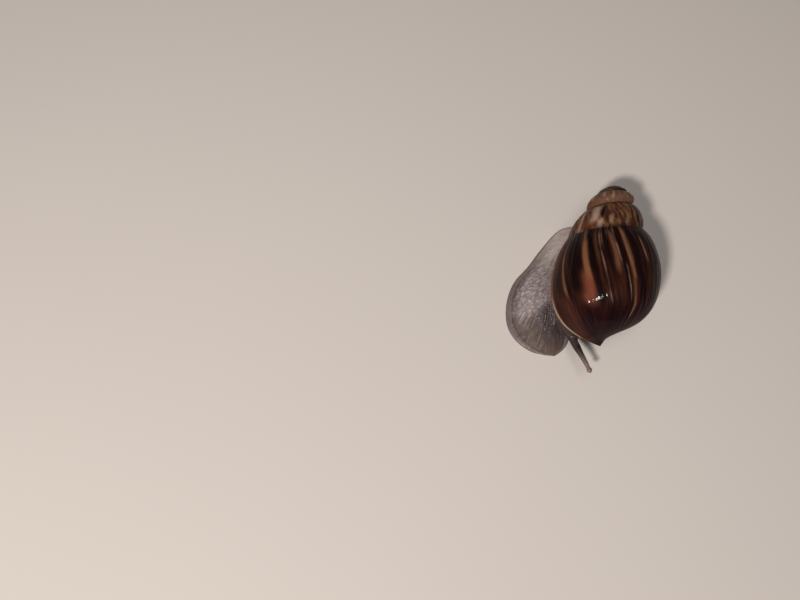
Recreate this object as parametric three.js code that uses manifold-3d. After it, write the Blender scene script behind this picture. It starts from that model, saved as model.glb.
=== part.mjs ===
// A giant African land snail, life size, at rest on a level floor with one feeler out.
// Millimetres. +Z is up, +Y runs from the head to the tip of the shell, and +X is the side
// that the shell leans on. The origin is the middle of the footprint, on the floor.
//
// The shell is a right-handed spiral. A growth line, the outline of the lip at one moment,
// is swept round the shell's axis while it shrinks towards the tip. The flesh is a foot, a
// neck, a head and feelers, cut back to clear the shell and parted by thin cuts.

import * as THREE from 'three';
import { mergeVertices } from 'three/addons/utils/BufferGeometryUtils.js';
import Module from 'manifold-3d';

const wasm = await Module();
wasm.setup();

// ---------------------------------------------------------------- driving dimensions

// Place of the shell: its pivot is the point of the axis 35 mm below the tip.
const PIVOT = new THREE.Vector3(6.4, 0.9, 14.75);
const PIVOT_DEPTH = 35;
const AXIS_AZIMUTH = 7.4; // degrees that the tip of the shell swings towards +X
const AXIS_RISE = 4.6; // degrees that the tip of the shell lifts
const SHELL_ROLL = -2.6; // degrees that the lip rolls up about the axis

// The adult growth line, as radius from the axis and depth below the tip.
const SHELL_LENGTH = 59;
const SUTURE = [11.1, 18.1];
const WIDEST = [20.1, 38.5];
const BASE_RADIUS = 1;
const SHOULDER_PULL = [5.9, 2.7];
const FLANK_PULL_UP = 6.9;
const FLANK_PULL_DOWN = 14.0;
const BASE_PULL = [10.4, -2.3];

// Growth factors for one turn, from the lip back to the tip, and the turns where they change.
const RADIUS_GROWTH = [1.375, 1.635, 1.55];
const RADIUS_CHANGES = [0.94, 2.66];
const DEPTH_GROWTH = [1.01, 3.56, 3.08, 2.35];
const DEPTH_CHANGES = [0.59, 1.1, 2.01];
const GROWTH_BLEND = 0.3;

// The base of the last whorl hangs back: share of its lift held back, and the turns behind the
// lip over which this fades away.
const BASE_LAG = 0.35;
const LAG_FADE = [0.45, 0.95];

// The whorl before the last sits off the axis, towards the lip: share of its radius, and the
// middle and spread of the stretch, in turns.
const OFFSET_SHARE = 0.096;
const OFFSET_TURN = -1.264;
const OFFSET_SPREAD = 0.411;
const TURNS = 4.5;
const STEPS_PER_TURN = 26;
const NUCLEUS_RADIUS = 2.1; // the rounded tip, half a ball that is flattened along the axis
const NUCLEUS_HEIGHT = 1.5;
const NUCLEUS_DEPTH = 1.4;

const PILLAR_RADIUS = 3;
const PILLAR_LENGTH = 44;

const LIP_THICKNESS = 0.8;
const MOUTH_TURN = 0.11; // how far the open mouth reaches back into the last turn
const MOUTH_FROM = 24; // depth below the tip at which the open mouth starts
const MOUTH_TO = 55;
const COLUMELLA_RADIUS = 3;
const MANTLE_CORE = 4.5; // the mantle keeps this far from the axis
const GAP = 0.3;

const FOOTPRINT_MIDDLE = [-2.01, 2.07]; // middle of the finished animal, moved to the origin

// The foot: stations from the tail to the front. Each gives the left edge of the sole, x and y,
// its right edge, x and y, the height of the back, and the width of the sole's flat edge.
const FOOT = [
  [0.4, 26.5, 1.4, 26.1, 1.2, 0.3],
  [-5.2, 25.4, 1.2, 21.5, 3.4, 0.5],
  [-12.8, 17.7, -1.0, 13.0, 8.0, 0.8],
  [-18.4, 10.5, -3.2, 4.0, 12.0, 1.2],
  [-24.2, 3.9, -4.4, -2.5, 13.6, 1.5],
  [-27.3, -4.5, -4.8, -8.5, 13.6, 1.7],
  [-27.2, -12.9, -4.8, -13.6, 11.6, 1.7],
  [-24.2, -18.3, -5.0, -18.3, 8.0, 1.6],
  [-19.0, -22.2, -7.4, -21.8, 4.2, 1.1],
  [-14.2, -23.5, -10.4, -23.9, 1.6, 0.4],
];
const RIM_THICKNESS = 1.1; // the flat edge of the sole
const BACK_PEAK = 0.35; // place of the highest line of the back, 0 middle, 1 right edge
const BACK_ROUNDNESS = 0.75;
const FOOT_STEPS = 27;
const BACK_STEPS = 14;

// The neck and head: x, y, z, radius from the mouth of the shell to the snout.
const NECK = [
  [-5.6, 12.6, 11.6, 3.6],
  [-8.4, 5.6, 10.9, 5.2],
  [-9.6, -4.0, 10.6, 5.6],
  [-7.8, -10.6, 9.6, 5.2],
  [-4.8, -14.6, 7.8, 4.6],
  [-2.4, -14.6, 6.4, 3.5],
];
const SNOUT_RADIUS = 2.7;
const SNOUT = [-0.9, -15.2, 5.0];

// Feelers: points from root to tip, and radii at the root, the middle and below the knob.
const RIGHT_FEELER = [[-5.8, -18.0, 7.8], [-4.5, -22.4, 9.1], [-2.9, -26.4, 10.0], [-1.3, -30.4, 10.4]];
const LEFT_FEELER = [[-1.6, -14.8, 8.0], [1.0, -16.2, 8.0], [3.4, -16.6, 7.8], [5.2, -16.8, 7.4]];
const FEELER_RADII = [1.9, 1.1, 0.72];
const KNOB_RADIUS = 1.0;
const EYE_RADIUS = 0.42;
const EYE_GAP = 0.15;
const EYE_LEAD = 0.72; // how far the eye sits ahead of the middle of the knob
const RIGHT_PALP = [[-2.6, -16.4, 4.2], [-3.0, -17.8, 3.4], [-3.4, -18.8, 2.7]];
const LEFT_PALP = [[0.5, -15.6, 4.2], [1.6, -16.6, 3.4], [2.5, -17.3, 2.7]];
const PALP_RADII = [0.95, 0.75, 0.65];

// Cuts that part the flesh: a point of each and the way it faces.
const HEAD_CUT = [[-5.4, -13.0, 8.4], [0.6, -0.75, -0.3]];
const FRONT_CUT = [[-16, -14, 5], [0.1, -1, 0]];
const TAIL_CUT = [[-9, 13, 4], [0.45, 0.9, 0]];
const CUT_SIZE = 60;

// ---------------------------------------------------------------- materials

const look = (color, roughness) => new THREE.MeshStandardMaterial({ color, roughness, metalness: 0 });
const shellFinish = look(0x4a2a1c, 0.25);
const backFinish = look(0x8c807c, 0.45);
const neckFinish = look(0x5a4c48, 0.4);
const eyeFinish = look(0x15100e, 0.1);

// ---------------------------------------------------------------- solids from surfaces

// Triangles that fill a flat outline and turn the same way round as it does.
function flatFaces(outline) {
  const faces = THREE.ShapeUtils.triangulateShape(outline, []);
  return THREE.ShapeUtils.isClockWise(outline) ? faces.map(([a, b, c]) => [c, b, a]) : faces;
}

// A closed solid through rings of points; every ring has the same number of points.
// The two end rings are closed by triangulating their flat outlines.
function loft(rings, firstOutline, lastOutline = firstOutline) {
  const count = rings[0].length;
  const positions = rings.flat().flatMap((point) => [point.x, point.y, point.z]);
  const index = [];
  for (let ring = 0; ring + 1 < rings.length; ring++) {
    for (let i = 0; i < count; i++) {
      const a = ring * count + i;
      const b = ring * count + ((i + 1) % count);
      index.push(a, b, a + count, b, b + count, a + count);
    }
  }
  const lastRing = (rings.length - 1) * count;
  for (const [a, b, c] of flatFaces(firstOutline)) {
    index.push(c, b, a);
  }
  for (const [a, b, c] of flatFaces(lastOutline)) {
    index.push(lastRing + a, lastRing + b, lastRing + c);
  }
  const geometry = new THREE.BufferGeometry();
  geometry.setAttribute('position', new THREE.Float32BufferAttribute(positions, 3));
  geometry.setIndex(index);
  return solidOf(geometry);
}

// A manifold solid from a closed geometry, turned right side out.
function solidOf(geometry, matrix = new THREE.Matrix4()) {
  const bare = geometry.clone().applyMatrix4(matrix);
  bare.deleteAttribute('normal');
  bare.deleteAttribute('uv');
  const merged = mergeVertices(bare, 1e-4);
  const vertProperties = new Float32Array(merged.attributes.position.array);
  const triVerts = new Uint32Array(merged.index.array);
  const solid = new wasm.Manifold(new wasm.Mesh({ numProp: 3, vertProperties, triVerts }));
  if (solid.volume() >= 0) {
    return solid;
  }
  for (let i = 0; i < triVerts.length; i += 3) {
    [triVerts[i], triVerts[i + 1]] = [triVerts[i + 1], triVerts[i]];
  }
  return new wasm.Manifold(new wasm.Mesh({ numProp: 3, vertProperties, triVerts }));
}

// The outer surface alone: joining whorls leaves hair-thin pockets between them.
function withoutPockets(solid) {
  return solid.decompose().reduce((most, other) => (other.volume() > most.volume() ? other : most));
}

function ball(centre, radius) {
  const geometry = new THREE.SphereGeometry(radius, 12, 8);
  return solidOf(geometry, new THREE.Matrix4().setPosition(...centre));
}

// A round limb with a smooth spine and a radius that follows its own smooth curve.
function limb(stations, radii, steps, sides = 12) {
  const spine = new THREE.CatmullRomCurve3(stations.map(([x, y, z]) => new THREE.Vector3(x, y, z)));
  const thickness = new THREE.SplineCurve(radii.map((radius, i) => new THREE.Vector2(i, radius)));
  const frames = spine.computeFrenetFrames(steps, false);
  const rings = [];
  for (let i = 0; i <= steps; i++) {
    const centre = spine.getPointAt(i / steps);
    const radius = thickness.getPoint(i / steps).y;
    const ring = [];
    for (let side = 0; side < sides; side++) {
      const angle = (2 * Math.PI * side) / sides;
      const spoke = frames.normals[i].clone().multiplyScalar(radius * Math.cos(angle));
      spoke.addScaledVector(frames.binormals[i], radius * Math.sin(angle));
      ring.push(spoke.add(centre));
    }
    rings.push(ring);
  }
  const outline = rings[0].map((_, side) => {
    const angle = (2 * Math.PI * side) / sides;
    return new THREE.Vector2(Math.cos(angle), Math.sin(angle));
  });
  return loft(rings, outline);
}

// ---------------------------------------------------------------- shell

const radians = THREE.MathUtils.degToRad;

// Size of a growth line made some turns before the lip, as a share of the lip's.
function growthScale(turn, rates, changes) {
  const ramp = (x) => GROWTH_BLEND * Math.log1p(Math.exp(x / GROWTH_BLEND));
  let logarithm = Math.log(rates[0]) * turn;
  changes.forEach((change, i) => {
    const turnsPast = ramp(-turn - change) - ramp(-change);
    logarithm -= (Math.log(rates[i + 1]) - Math.log(rates[i])) * turnsPast;
  });
  return Math.exp(logarithm);
}

// Depth of a point of the adult growth line when it is carried back to another turn.
function depthAt(depth, turn) {
  const low = THREE.MathUtils.smoothstep(depth, WIDEST[1], SHELL_LENGTH);
  const lag = BASE_LAG * low * (1 - THREE.MathUtils.smoothstep(-turn, ...LAG_FADE));
  return depth * growthScale(turn, DEPTH_GROWTH, DEPTH_CHANGES) ** (1 - lag);
}

function radiusScale(turn) {
  const stretch = Math.exp(-(((turn - OFFSET_TURN) / OFFSET_SPREAD) ** 2));
  const offset = OFFSET_SHARE * stretch * Math.cos(2 * Math.PI * turn);
  return growthScale(turn, RADIUS_GROWTH, RADIUS_CHANGES) * (1 + offset);
}

// The adult growth line as two curves that meet at the widest place.
function growthLine(steps) {
  const at = (point, pull = [0, 0]) => new THREE.Vector2(point[0] + pull[0], point[1] + pull[1]);
  const base = [BASE_RADIUS, SHELL_LENGTH];
  const upper = new THREE.CubicBezierCurve(
    at(SUTURE), at(SUTURE, SHOULDER_PULL), at(WIDEST, [0, -FLANK_PULL_UP]), at(WIDEST));
  const lower = new THREE.CubicBezierCurve(
    at(WIDEST), at(WIDEST, [0, FLANK_PULL_DOWN]), at(base, BASE_PULL), at(base));
  return [...upper.getPoints(steps), ...lower.getPoints(steps).slice(1)];
}

// The same line moved outwards along its own normals; a negative distance moves it inwards.
function offsetLine(line, distance) {
  return line.map((point, i) => {
    const before = line[Math.max(i - 1, 0)];
    const after = line[Math.min(i + 1, line.length - 1)];
    const along = after.clone().sub(before).normalize();
    return new THREE.Vector2(point.x + along.y * distance, point.y - along.x * distance);
  });
}

// Directions of the shell's own frame: towards the lip, away from the floor, along the axis.
const azimuth = radians(AXIS_AZIMUTH);
const rise = radians(AXIS_RISE);
const axis = new THREE.Vector3(
  Math.sin(azimuth) * Math.cos(rise), Math.cos(azimuth) * Math.cos(rise), Math.sin(rise));
const level = new THREE.Vector3(0, 0, 1).addScaledVector(axis, -axis.z).normalize();
const sideways = level.clone().cross(axis);
const shellUp = level.clone().applyAxisAngle(axis, -radians(SHELL_ROLL));
const shellLip = sideways.clone().applyAxisAngle(axis, -radians(SHELL_ROLL));

function shellPoint(radius, depth, turn) {
  const angle = 2 * Math.PI * turn;
  return PIVOT.clone()
    .addScaledVector(shellLip, radius * Math.cos(angle))
    .addScaledVector(shellUp, -radius * Math.sin(angle))
    .addScaledVector(axis, PIVOT_DEPTH - depth);
}

// Part of a whorl between two turns, filled in towards the axis.
// core is the radius at which it stops, and from and to trim the line by its adult depth.
function whorl(firstTurn, lastTurn, options = {}) {
  const { offset = 0, core = 0, from = 0, to = SHELL_LENGTH, steps = 8 } = options;
  const line = offsetLine(growthLine(steps), offset).filter((point) => point.y >= from && point.y <= to);
  const ringCount = Math.max(2, Math.round((lastTurn - firstTurn) * STEPS_PER_TURN)) + 1;
  const innerTop = depthAt(line[0].y, lastTurn);
  const innerBase = depthAt(line[line.length - 1].y, firstTurn);
  const rings = [];
  const outlines = [];
  for (let i = 0; i < ringCount; i++) {
    const turn = firstTurn + ((lastTurn - firstTurn) * i) / (ringCount - 1);
    const outline = [new THREE.Vector2(core, innerTop)];
    for (const point of line) {
      outline.push(new THREE.Vector2(point.x * radiusScale(turn), depthAt(point.y, turn)));
    }
    outline.push(new THREE.Vector2(core, innerBase));
    outlines.push(outline);
    rings.push(outline.map((point) => shellPoint(point.x, point.y, turn)));
  }
  return loft(rings, outlines[0], outlines[outlines.length - 1]);
}

// The whole spiral back from a last turn, in half turns that each run on into the next one.
function spiral(lastTurn, offset) {
  let solid = whorl(lastTurn - 0.5, lastTurn, { offset });
  for (let turn = lastTurn - 0.5; turn > lastTurn - TURNS; turn -= 0.5) {
    solid = solid.add(whorl(turn - 0.5, turn + 1 / STEPS_PER_TURN, { offset, steps: turn < -2 ? 4 : 8 }));
  }
  return solid;
}

// The pillar that the whorls wind round, from the tip to near the base.
function pillar() {
  const geometry = new THREE.ConeGeometry(PILLAR_RADIUS, PILLAR_LENGTH, 16, 1);
  const matrix = new THREE.Matrix4().makeBasis(shellLip, axis, shellLip.clone().cross(axis));
  matrix.setPosition(shellPoint(0, PILLAR_LENGTH / 2, 0));
  return solidOf(geometry, matrix);
}

// The rounded beginning of the shell.
function nucleus() {
  const geometry = new THREE.SphereGeometry(NUCLEUS_RADIUS, 16, 8);
  geometry.scale(1, NUCLEUS_HEIGHT / NUCLEUS_RADIUS, 1);
  const matrix = new THREE.Matrix4().makeBasis(shellLip, axis, shellLip.clone().cross(axis));
  matrix.setPosition(shellPoint(0, NUCLEUS_DEPTH, 0));
  return solidOf(geometry, matrix);
}

// Everything above a level: the floor trims the shell to a small flat.
function trimmedByFloor(solid) {
  const block = new THREE.BoxGeometry(300, 300, 20);
  return solid.subtract(solidOf(block, new THREE.Matrix4().setPosition(0, 0, -10)));
}

function shellSolid() {
  const older = spiral(-0.5, 0);
  const mouth = whorl(-MOUTH_TURN, 0.03, {
    offset: -LIP_THICKNESS, core: COLUMELLA_RADIUS, from: MOUTH_FROM, to: MOUTH_TO, steps: 14,
  });
  const last = whorl(-0.5 - 1 / STEPS_PER_TURN, 0).subtract(mouth);
  return withoutPockets(trimmedByFloor(last.add(older).add(nucleus()).add(pillar())));
}

// ---------------------------------------------------------------- flesh

// The foot is lofted across its length: a flat sole, a thin rim and a rounded back.
function footSolid() {
  const leftEdge = new THREE.CatmullRomCurve3(FOOT.map(([x, y]) => new THREE.Vector3(x, y, 0)));
  const rightEdge = new THREE.CatmullRomCurve3(FOOT.map(([, , x, y]) => new THREE.Vector3(x, y, 0)));
  const back = new THREE.SplineCurve(FOOT.map((station, i) => new THREE.Vector2(i, station[4])));
  const edge = new THREE.SplineCurve(FOOT.map((station, i) => new THREE.Vector2(i, station[5])));
  const rings = [];
  const outlines = [];
  for (let i = 0; i <= FOOT_STEPS; i++) {
    const left = leftEdge.getPoint(i / FOOT_STEPS);
    const right = rightEdge.getPoint(i / FOOT_STEPS);
    const height = back.getPoint(i / FOOT_STEPS).y;
    const halfWidth = left.distanceTo(right) / 2;
    const outline = footOutline(halfWidth, height, edge.getPoint(i / FOOT_STEPS).y);
    outlines.push(outline);
    rings.push(outline.map(({ x, y }) => {
      const point = left.clone().lerp(right, (x / halfWidth + 1) / 2);
      return point.setZ(y);
    }));
  }
  return loft(rings, outlines[0], outlines[FOOT_STEPS]);
}

// One cut across the foot, x to the right and y up, from its half width, height and edge.
function footOutline(halfWidth, height, edgeWidth) {
  const rim = Math.min(RIM_THICKNESS, 0.8 * height);
  const dome = Math.max(halfWidth - edgeWidth, 0.5 * halfWidth);
  const outline = [new THREE.Vector2(-halfWidth, 0)];
  outline.push(new THREE.Vector2(-halfWidth, 0.7 * rim));
  for (let k = 0; k <= BACK_STEPS; k++) {
    const place = -Math.cos((Math.PI * k) / BACK_STEPS);
    const reach = place < BACK_PEAK ? 1 + BACK_PEAK : 1 - BACK_PEAK;
    const slope = (place - BACK_PEAK) / reach;
    const lift = Math.max(0, 1 - slope * slope) ** BACK_ROUNDNESS;
    outline.push(new THREE.Vector2(place * dome, rim + (height - rim) * lift));
  }
  outline.push(new THREE.Vector2(halfWidth, 0.7 * rim));
  outline.push(new THREE.Vector2(halfWidth, 0));
  return outline;
}

function headSolid(growth = 0) {
  const root = NECK[0];
  const tip = NECK[NECK.length - 1];
  return limb(NECK, NECK.map((station) => station[3] + growth), 10, 16)
    .add(ball(root.slice(0, 3), root[3] + growth))
    .add(ball(tip.slice(0, 3), tip[3] + growth))
    .add(ball(SNOUT, SNOUT_RADIUS + growth));
}

function feelerSolid(points, radii, knobRadius) {
  return limb(points, radii, 8, 10).add(ball(points[points.length - 1], knobRadius));
}

// The middle of an eye, just inside the end of a feeler's knob.
function eyeCentre(points) {
  const [before, tip] = points.slice(-2).map((point) => new THREE.Vector3(...point));
  const ahead = tip.clone().sub(before).normalize();
  return tip.addScaledVector(ahead, EYE_LEAD * KNOB_RADIUS).toArray();
}

// The part of the body that fills the mouth of the shell.
function mantleSolid(olderShell) {
  const plug = whorl(-MOUTH_TURN + 0.01, 0.03, {
    offset: -LIP_THICKNESS - GAP,
    core: MANTLE_CORE,
    from: MOUTH_FROM + 1.5,
    to: MOUTH_TO - 1.5,
    steps: 14,
  });
  return plug.subtract(olderShell);
}

// A thin flat slab that parts the flesh, with its middle, its facing and its size.
function cutSlab(centre, facing, size) {
  const geometry = new THREE.BoxGeometry(size, size, GAP);
  const turnTo = new THREE.Quaternion().setFromUnitVectors(
    new THREE.Vector3(0, 0, 1), new THREE.Vector3(...facing).normalize());
  const matrix = new THREE.Matrix4().makeRotationFromQuaternion(turnTo);
  return solidOf(geometry, matrix.setPosition(...centre));
}

// Parts the flesh at a slab; the side that the slab faces comes first.
function parted(solid, [centre, facing]) {
  const pieces = solid.subtract(cutSlab(centre, facing, CUT_SIZE)).decompose();
  const point = new THREE.Vector3(...centre);
  const direction = new THREE.Vector3(...facing);
  const ahead = (piece) => {
    const { min, max } = piece.boundingBox();
    const middle = new THREE.Vector3(...min).add(new THREE.Vector3(...max)).multiplyScalar(0.5);
    return middle.sub(point).dot(direction) > 0;
  };
  const most = (side) => withoutPockets(wasm.Manifold.compose(pieces.filter((piece) => ahead(piece) === side)));
  return [most(true), most(false)];
}

// ---------------------------------------------------------------- assembly

const group = new THREE.Group();

function addNode(name, solid, finish) {
  const { vertProperties, triVerts } = solid.getMesh();
  const geometry = new THREE.BufferGeometry();
  geometry.setAttribute('position', new THREE.Float32BufferAttribute(vertProperties, 3));
  geometry.setIndex(new THREE.Uint32BufferAttribute(triVerts, 1));
  geometry.computeVertexNormals();
  const mesh = new THREE.Mesh(geometry, finish);
  mesh.name = name;
  group.add(mesh);
}

const shell = shellSolid();
const clearShell = spiral(0.01, GAP);
const headClear = headSolid(GAP);
const mantle = mantleSolid(spiral(-0.5, GAP));
const headAndNeck = headSolid().subtract(clearShell);
const wholeFoot = footSolid().subtract(clearShell).subtract(headClear);

addNode('shell', shell, shellFinish);
addNode('mantle', withoutPockets(mantle.subtract(headClear)), neckFinish);

const [head, neck] = parted(headAndNeck, HEAD_CUT);
addNode('head', head, neckFinish);
addNode('neck', neck, neckFinish);

const [footFront, restOfFoot] = parted(wholeFoot, FRONT_CUT);
const [tail, footMiddle] = parted(restOfFoot, TAIL_CUT);
addNode('foot_front', footFront, neckFinish);
addNode('foot_middle', footMiddle, backFinish);
addNode('tail', tail, backFinish);

for (const [side, points] of [['right', RIGHT_FEELER], ['left', LEFT_FEELER]]) {
  const eye = eyeCentre(points);
  const feeler = feelerSolid(points, FEELER_RADII, KNOB_RADIUS)
    .subtract(headClear)
    .subtract(clearShell)
    .subtract(ball(eye, EYE_RADIUS + EYE_GAP));
  addNode(`upper_feeler_${side}`, withoutPockets(feeler), neckFinish);
  addNode(`eye_${side}`, ball(eye, EYE_RADIUS), eyeFinish);
}
for (const [side, points] of [['right', RIGHT_PALP], ['left', LEFT_PALP]]) {
  const feeler = feelerSolid(points, PALP_RADII, PALP_RADII[2]).subtract(headClear);
  addNode(`lower_feeler_${side}`, withoutPockets(feeler), neckFinish);
}

group.position.set(-FOOTPRINT_MIDDLE[0], -FOOTPRINT_MIDDLE[1], 0);

export default group;
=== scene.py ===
"""A giant African land snail, life size, at rest on a pale floor.

The shell is a right-handed spiral swept from one growth line. The soft body is one skin over
the foot, neck, head and feelers. Sizes are in millimetres until the last step of each piece,
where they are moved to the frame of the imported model, in metres.
"""

import math

import bmesh
import bpy
import numpy as np
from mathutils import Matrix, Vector


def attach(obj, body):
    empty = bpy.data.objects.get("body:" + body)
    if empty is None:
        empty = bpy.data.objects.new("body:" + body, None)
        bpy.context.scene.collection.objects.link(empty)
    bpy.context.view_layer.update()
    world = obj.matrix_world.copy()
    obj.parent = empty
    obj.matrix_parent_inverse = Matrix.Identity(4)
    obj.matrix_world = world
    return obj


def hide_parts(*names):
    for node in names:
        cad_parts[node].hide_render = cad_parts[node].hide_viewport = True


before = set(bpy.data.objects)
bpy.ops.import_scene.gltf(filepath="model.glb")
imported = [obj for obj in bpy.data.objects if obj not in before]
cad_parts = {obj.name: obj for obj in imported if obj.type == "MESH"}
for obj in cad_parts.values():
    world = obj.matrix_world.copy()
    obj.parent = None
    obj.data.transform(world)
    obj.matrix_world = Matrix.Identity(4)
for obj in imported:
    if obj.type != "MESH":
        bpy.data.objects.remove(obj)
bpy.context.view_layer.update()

bl_info = {
    "name": "Giant African land snail",
    "version": (1, 0, 0),
    "blender": (4, 5, 0),
    "location": "View3D > Sidebar > Snail",
    "description": "Builds a life-size land snail at rest, with its shell, skin, eyes and stage",
    "category": "Add Mesh",
}

# ------------------------------------------------------------------ sizes shared by the pieces

FOOTPRINT_MIDDLE = np.array((-2.01, 2.07, 0.0))
MILLIMETRE = 0.001

# The shell's pivot is the point of its axis 35 mm below the tip.
PIVOT = np.array((6.4, 0.9, 14.75))
PIVOT_DEPTH = 35.0
AXIS_AZIMUTH = math.radians(7.4)
AXIS_RISE = math.radians(4.6)
SHELL_ROLL = math.radians(-2.6)

SHELL_LENGTH = 59.0
SUTURE = np.array((11.1, 18.1))
WIDEST = np.array((20.1, 38.5))
BASE_RADIUS = 1.0
SHOULDER_PULL = np.array((5.9, 2.7))
FLANK_PULL_UP = 6.9
FLANK_PULL_DOWN = 14.0
BASE_PULL = np.array((10.4, -2.3))
LINE_STEPS = 400

RADIUS_GROWTH = (1.375, 1.635, 1.55)
RADIUS_CHANGES = (0.94, 2.66)
DEPTH_GROWTH = (1.01, 3.56, 3.08, 2.35)
DEPTH_CHANGES = (0.59, 1.1, 2.01)
GROWTH_BLEND = 0.3

# The base of the last whorl hangs back: share of its lift held back, and the turns behind the
# lip over which this fades away.
BASE_LAG = 0.35
LAG_FADE = (0.45, 0.95)

# The whorl before the last sits off the axis, towards the lip: share of its radius, and the
# middle and spread of the stretch, in turns.
OFFSET_SHARE = 0.096
OFFSET_TURN = -1.264
OFFSET_SPREAD = 0.411
MOUTH_TURN = 0.11

# The foot from tail to front: left edge x and y, right edge x and y, height of the back, and
# width of the sole's flat edge.
FOOT = np.array((
    (0.4, 26.5, 1.4, 26.1, 1.2, 0.3),
    (-5.2, 25.4, 1.2, 21.5, 3.4, 0.5),
    (-12.8, 17.7, -1.0, 13.0, 8.0, 0.8),
    (-18.4, 10.5, -3.2, 4.0, 12.0, 1.2),
    (-24.2, 3.9, -4.4, -2.5, 13.6, 1.5),
    (-27.3, -4.5, -4.8, -8.5, 13.6, 1.7),
    (-27.2, -12.9, -4.8, -13.6, 11.6, 1.7),
    (-24.2, -18.3, -5.0, -18.3, 8.0, 1.6),
    (-19.0, -22.2, -7.4, -21.8, 4.2, 1.1),
    (-14.2, -23.5, -10.4, -23.9, 1.6, 0.4),
))
RIM_THICKNESS = 1.1
RIM_ROUNDING = 0.3
BACK_PEAK = 0.35
BACK_ROUNDNESS = 0.75

# The neck and head: x, y, z and radius, from inside the shell to the snout.
NECK = np.array((
    (-5.6, 12.6, 11.6, 3.6),
    (-8.4, 5.6, 10.9, 5.2),
    (-9.6, -4.0, 10.6, 5.6),
    (-7.8, -10.6, 9.6, 5.2),
    (-4.8, -14.6, 7.8, 4.6),
    (-2.4, -14.6, 6.4, 3.5),
))
SNOUT = np.array((-0.9, -15.2, 5.0))
SNOUT_RADIUS = 2.7

RIGHT_FEELER = np.array((
    (-5.8, -18.0, 7.8),
    (-4.5, -22.4, 9.1),
    (-2.9, -26.4, 10.0),
    (-1.3, -30.4, 10.4),
))
LEFT_FEELER = np.array((
    (-1.6, -14.8, 8.0),
    (1.0, -16.2, 8.0),
    (3.4, -16.6, 7.8),
    (5.2, -16.8, 7.4),
))
FEELER_RADII = (1.9, 1.1, 0.72)
KNOB_RADIUS = 1.0
EYE_LEAD = 0.72
RIGHT_PALP = np.array(((-2.6, -16.4, 4.2), (-3.0, -17.8, 3.4), (-3.4, -18.8, 2.7)))
LEFT_PALP = np.array(((0.5, -15.6, 4.2), (1.6, -16.6, 3.4), (2.5, -17.3, 2.7)))
PALP_RADII = (0.95, 0.75, 0.65)


# ------------------------------------------------------------------ mesh helpers

def in_frame(points):
    """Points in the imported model's frame, in metres."""
    return (np.asarray(points, float) - FOOTPRINT_MIDDLE) * MILLIMETRE


def mesh_object(name, points, faces):
    """A new smooth mesh object from points in millimetres and faces."""
    mesh = bpy.data.meshes.new(name)
    mesh.from_pydata(in_frame(points).tolist(), [], [tuple(int(i) for i in face) for face in faces])
    mesh.validate()
    mesh.polygons.foreach_set("use_smooth", [True] * len(mesh.polygons))
    mesh.update()
    piece = bpy.data.objects.new(name, mesh)
    bpy.context.scene.collection.objects.link(piece)
    return piece


def point_attribute(piece, name, values):
    """Stores one number for each point, for the materials to read."""
    layer = piece.data.attributes.new(name, "FLOAT", "POINT")
    layer.data.foreach_set("value", np.asarray(values, np.float32))


def smooth_step(low, high, value):
    """0 below the low value, 1 above the high one, and a soft rise between them."""
    share = np.clip((value - low) / (high - low), 0.0, 1.0)
    return share * share * (3.0 - 2.0 * share)


def bump_at(value, middle, width):
    """A soft bump of height 1 round a middle value."""
    return np.exp(-((value - middle) / width) ** 2)


def ripples(value, seed, count=7, spread=0.45):
    """An uneven wave with about one crest for each unit of value, between -1 and 1."""
    rng = np.random.default_rng(seed)
    rates = 2 * math.pi * (1 + spread * rng.uniform(-1, 1, count))
    phases = rng.uniform(0, 2 * math.pi, count)
    total = sum(np.sin(rate * value + phase) for rate, phase in zip(rates, phases))
    return total / math.sqrt(count) / 1.5


def unit_rows(vectors):
    """Vectors brought to length 1, row by row."""
    return vectors / np.linalg.norm(vectors, axis=1)[:, None]


def curve_spans(points, count):
    """At equal shares along a line of points, the share of a span and the four points round it."""
    points = np.asarray(points, float)
    padded = np.vstack((2 * points[0] - points[1], points, 2 * points[-1] - points[-2]))
    place = np.linspace(0, len(points) - 1, count)
    start = np.minimum(place.astype(int), len(points) - 2)
    return (place - start)[:, None], *(padded[start + k] for k in range(4))


def smooth_curve(points, count):
    """Points at equal shares along a Catmull-Rom curve through the given points."""
    u, p0, p1, p2, p3 = curve_spans(points, count)
    return 0.5 * (2 * p1 + (p2 - p0) * u + (2 * p0 - 5 * p1 + 4 * p2 - p3) * u ** 2
                  + (3 * p1 - 3 * p2 + p3 - p0) * u ** 3)


def bezier(start, pull_start, pull_end, end, count):
    """Points of a curve that leaves its start and meets its end along the two pulls."""
    u = np.linspace(0, 1, count)[:, None]
    first_half = (1 - u) ** 3 * start + 3 * (1 - u) ** 2 * u * pull_start
    return first_half + 3 * (1 - u) * u ** 2 * pull_end + u ** 3 * end


def grid_faces(index):
    """Quads between the neighbouring rows and columns of an index grid."""
    a = index[:-1, :-1].ravel()
    b = index[:-1, 1:].ravel()
    c = index[1:, 1:].ravel()
    d = index[1:, :-1].ravel()
    return np.stack((a, b, c, d), axis=1)


# ------------------------------------------------------------------ shell shape

def shell_directions():
    """Unit vectors towards the lip, away from the floor and along the axis to the tip."""
    axis = np.array((
        math.sin(AXIS_AZIMUTH) * math.cos(AXIS_RISE),
        math.cos(AXIS_AZIMUTH) * math.cos(AXIS_RISE),
        math.sin(AXIS_RISE),
    ))
    level = np.array((0.0, 0.0, 1.0)) - axis * axis[2]
    level /= np.linalg.norm(level)
    sideways = np.cross(level, axis)
    up = level * math.cos(SHELL_ROLL) + sideways * math.sin(SHELL_ROLL)
    lip = np.cross(up, axis)
    return lip, up, axis


LIP_WAY, UP_WAY, AXIS_WAY = shell_directions()


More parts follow.
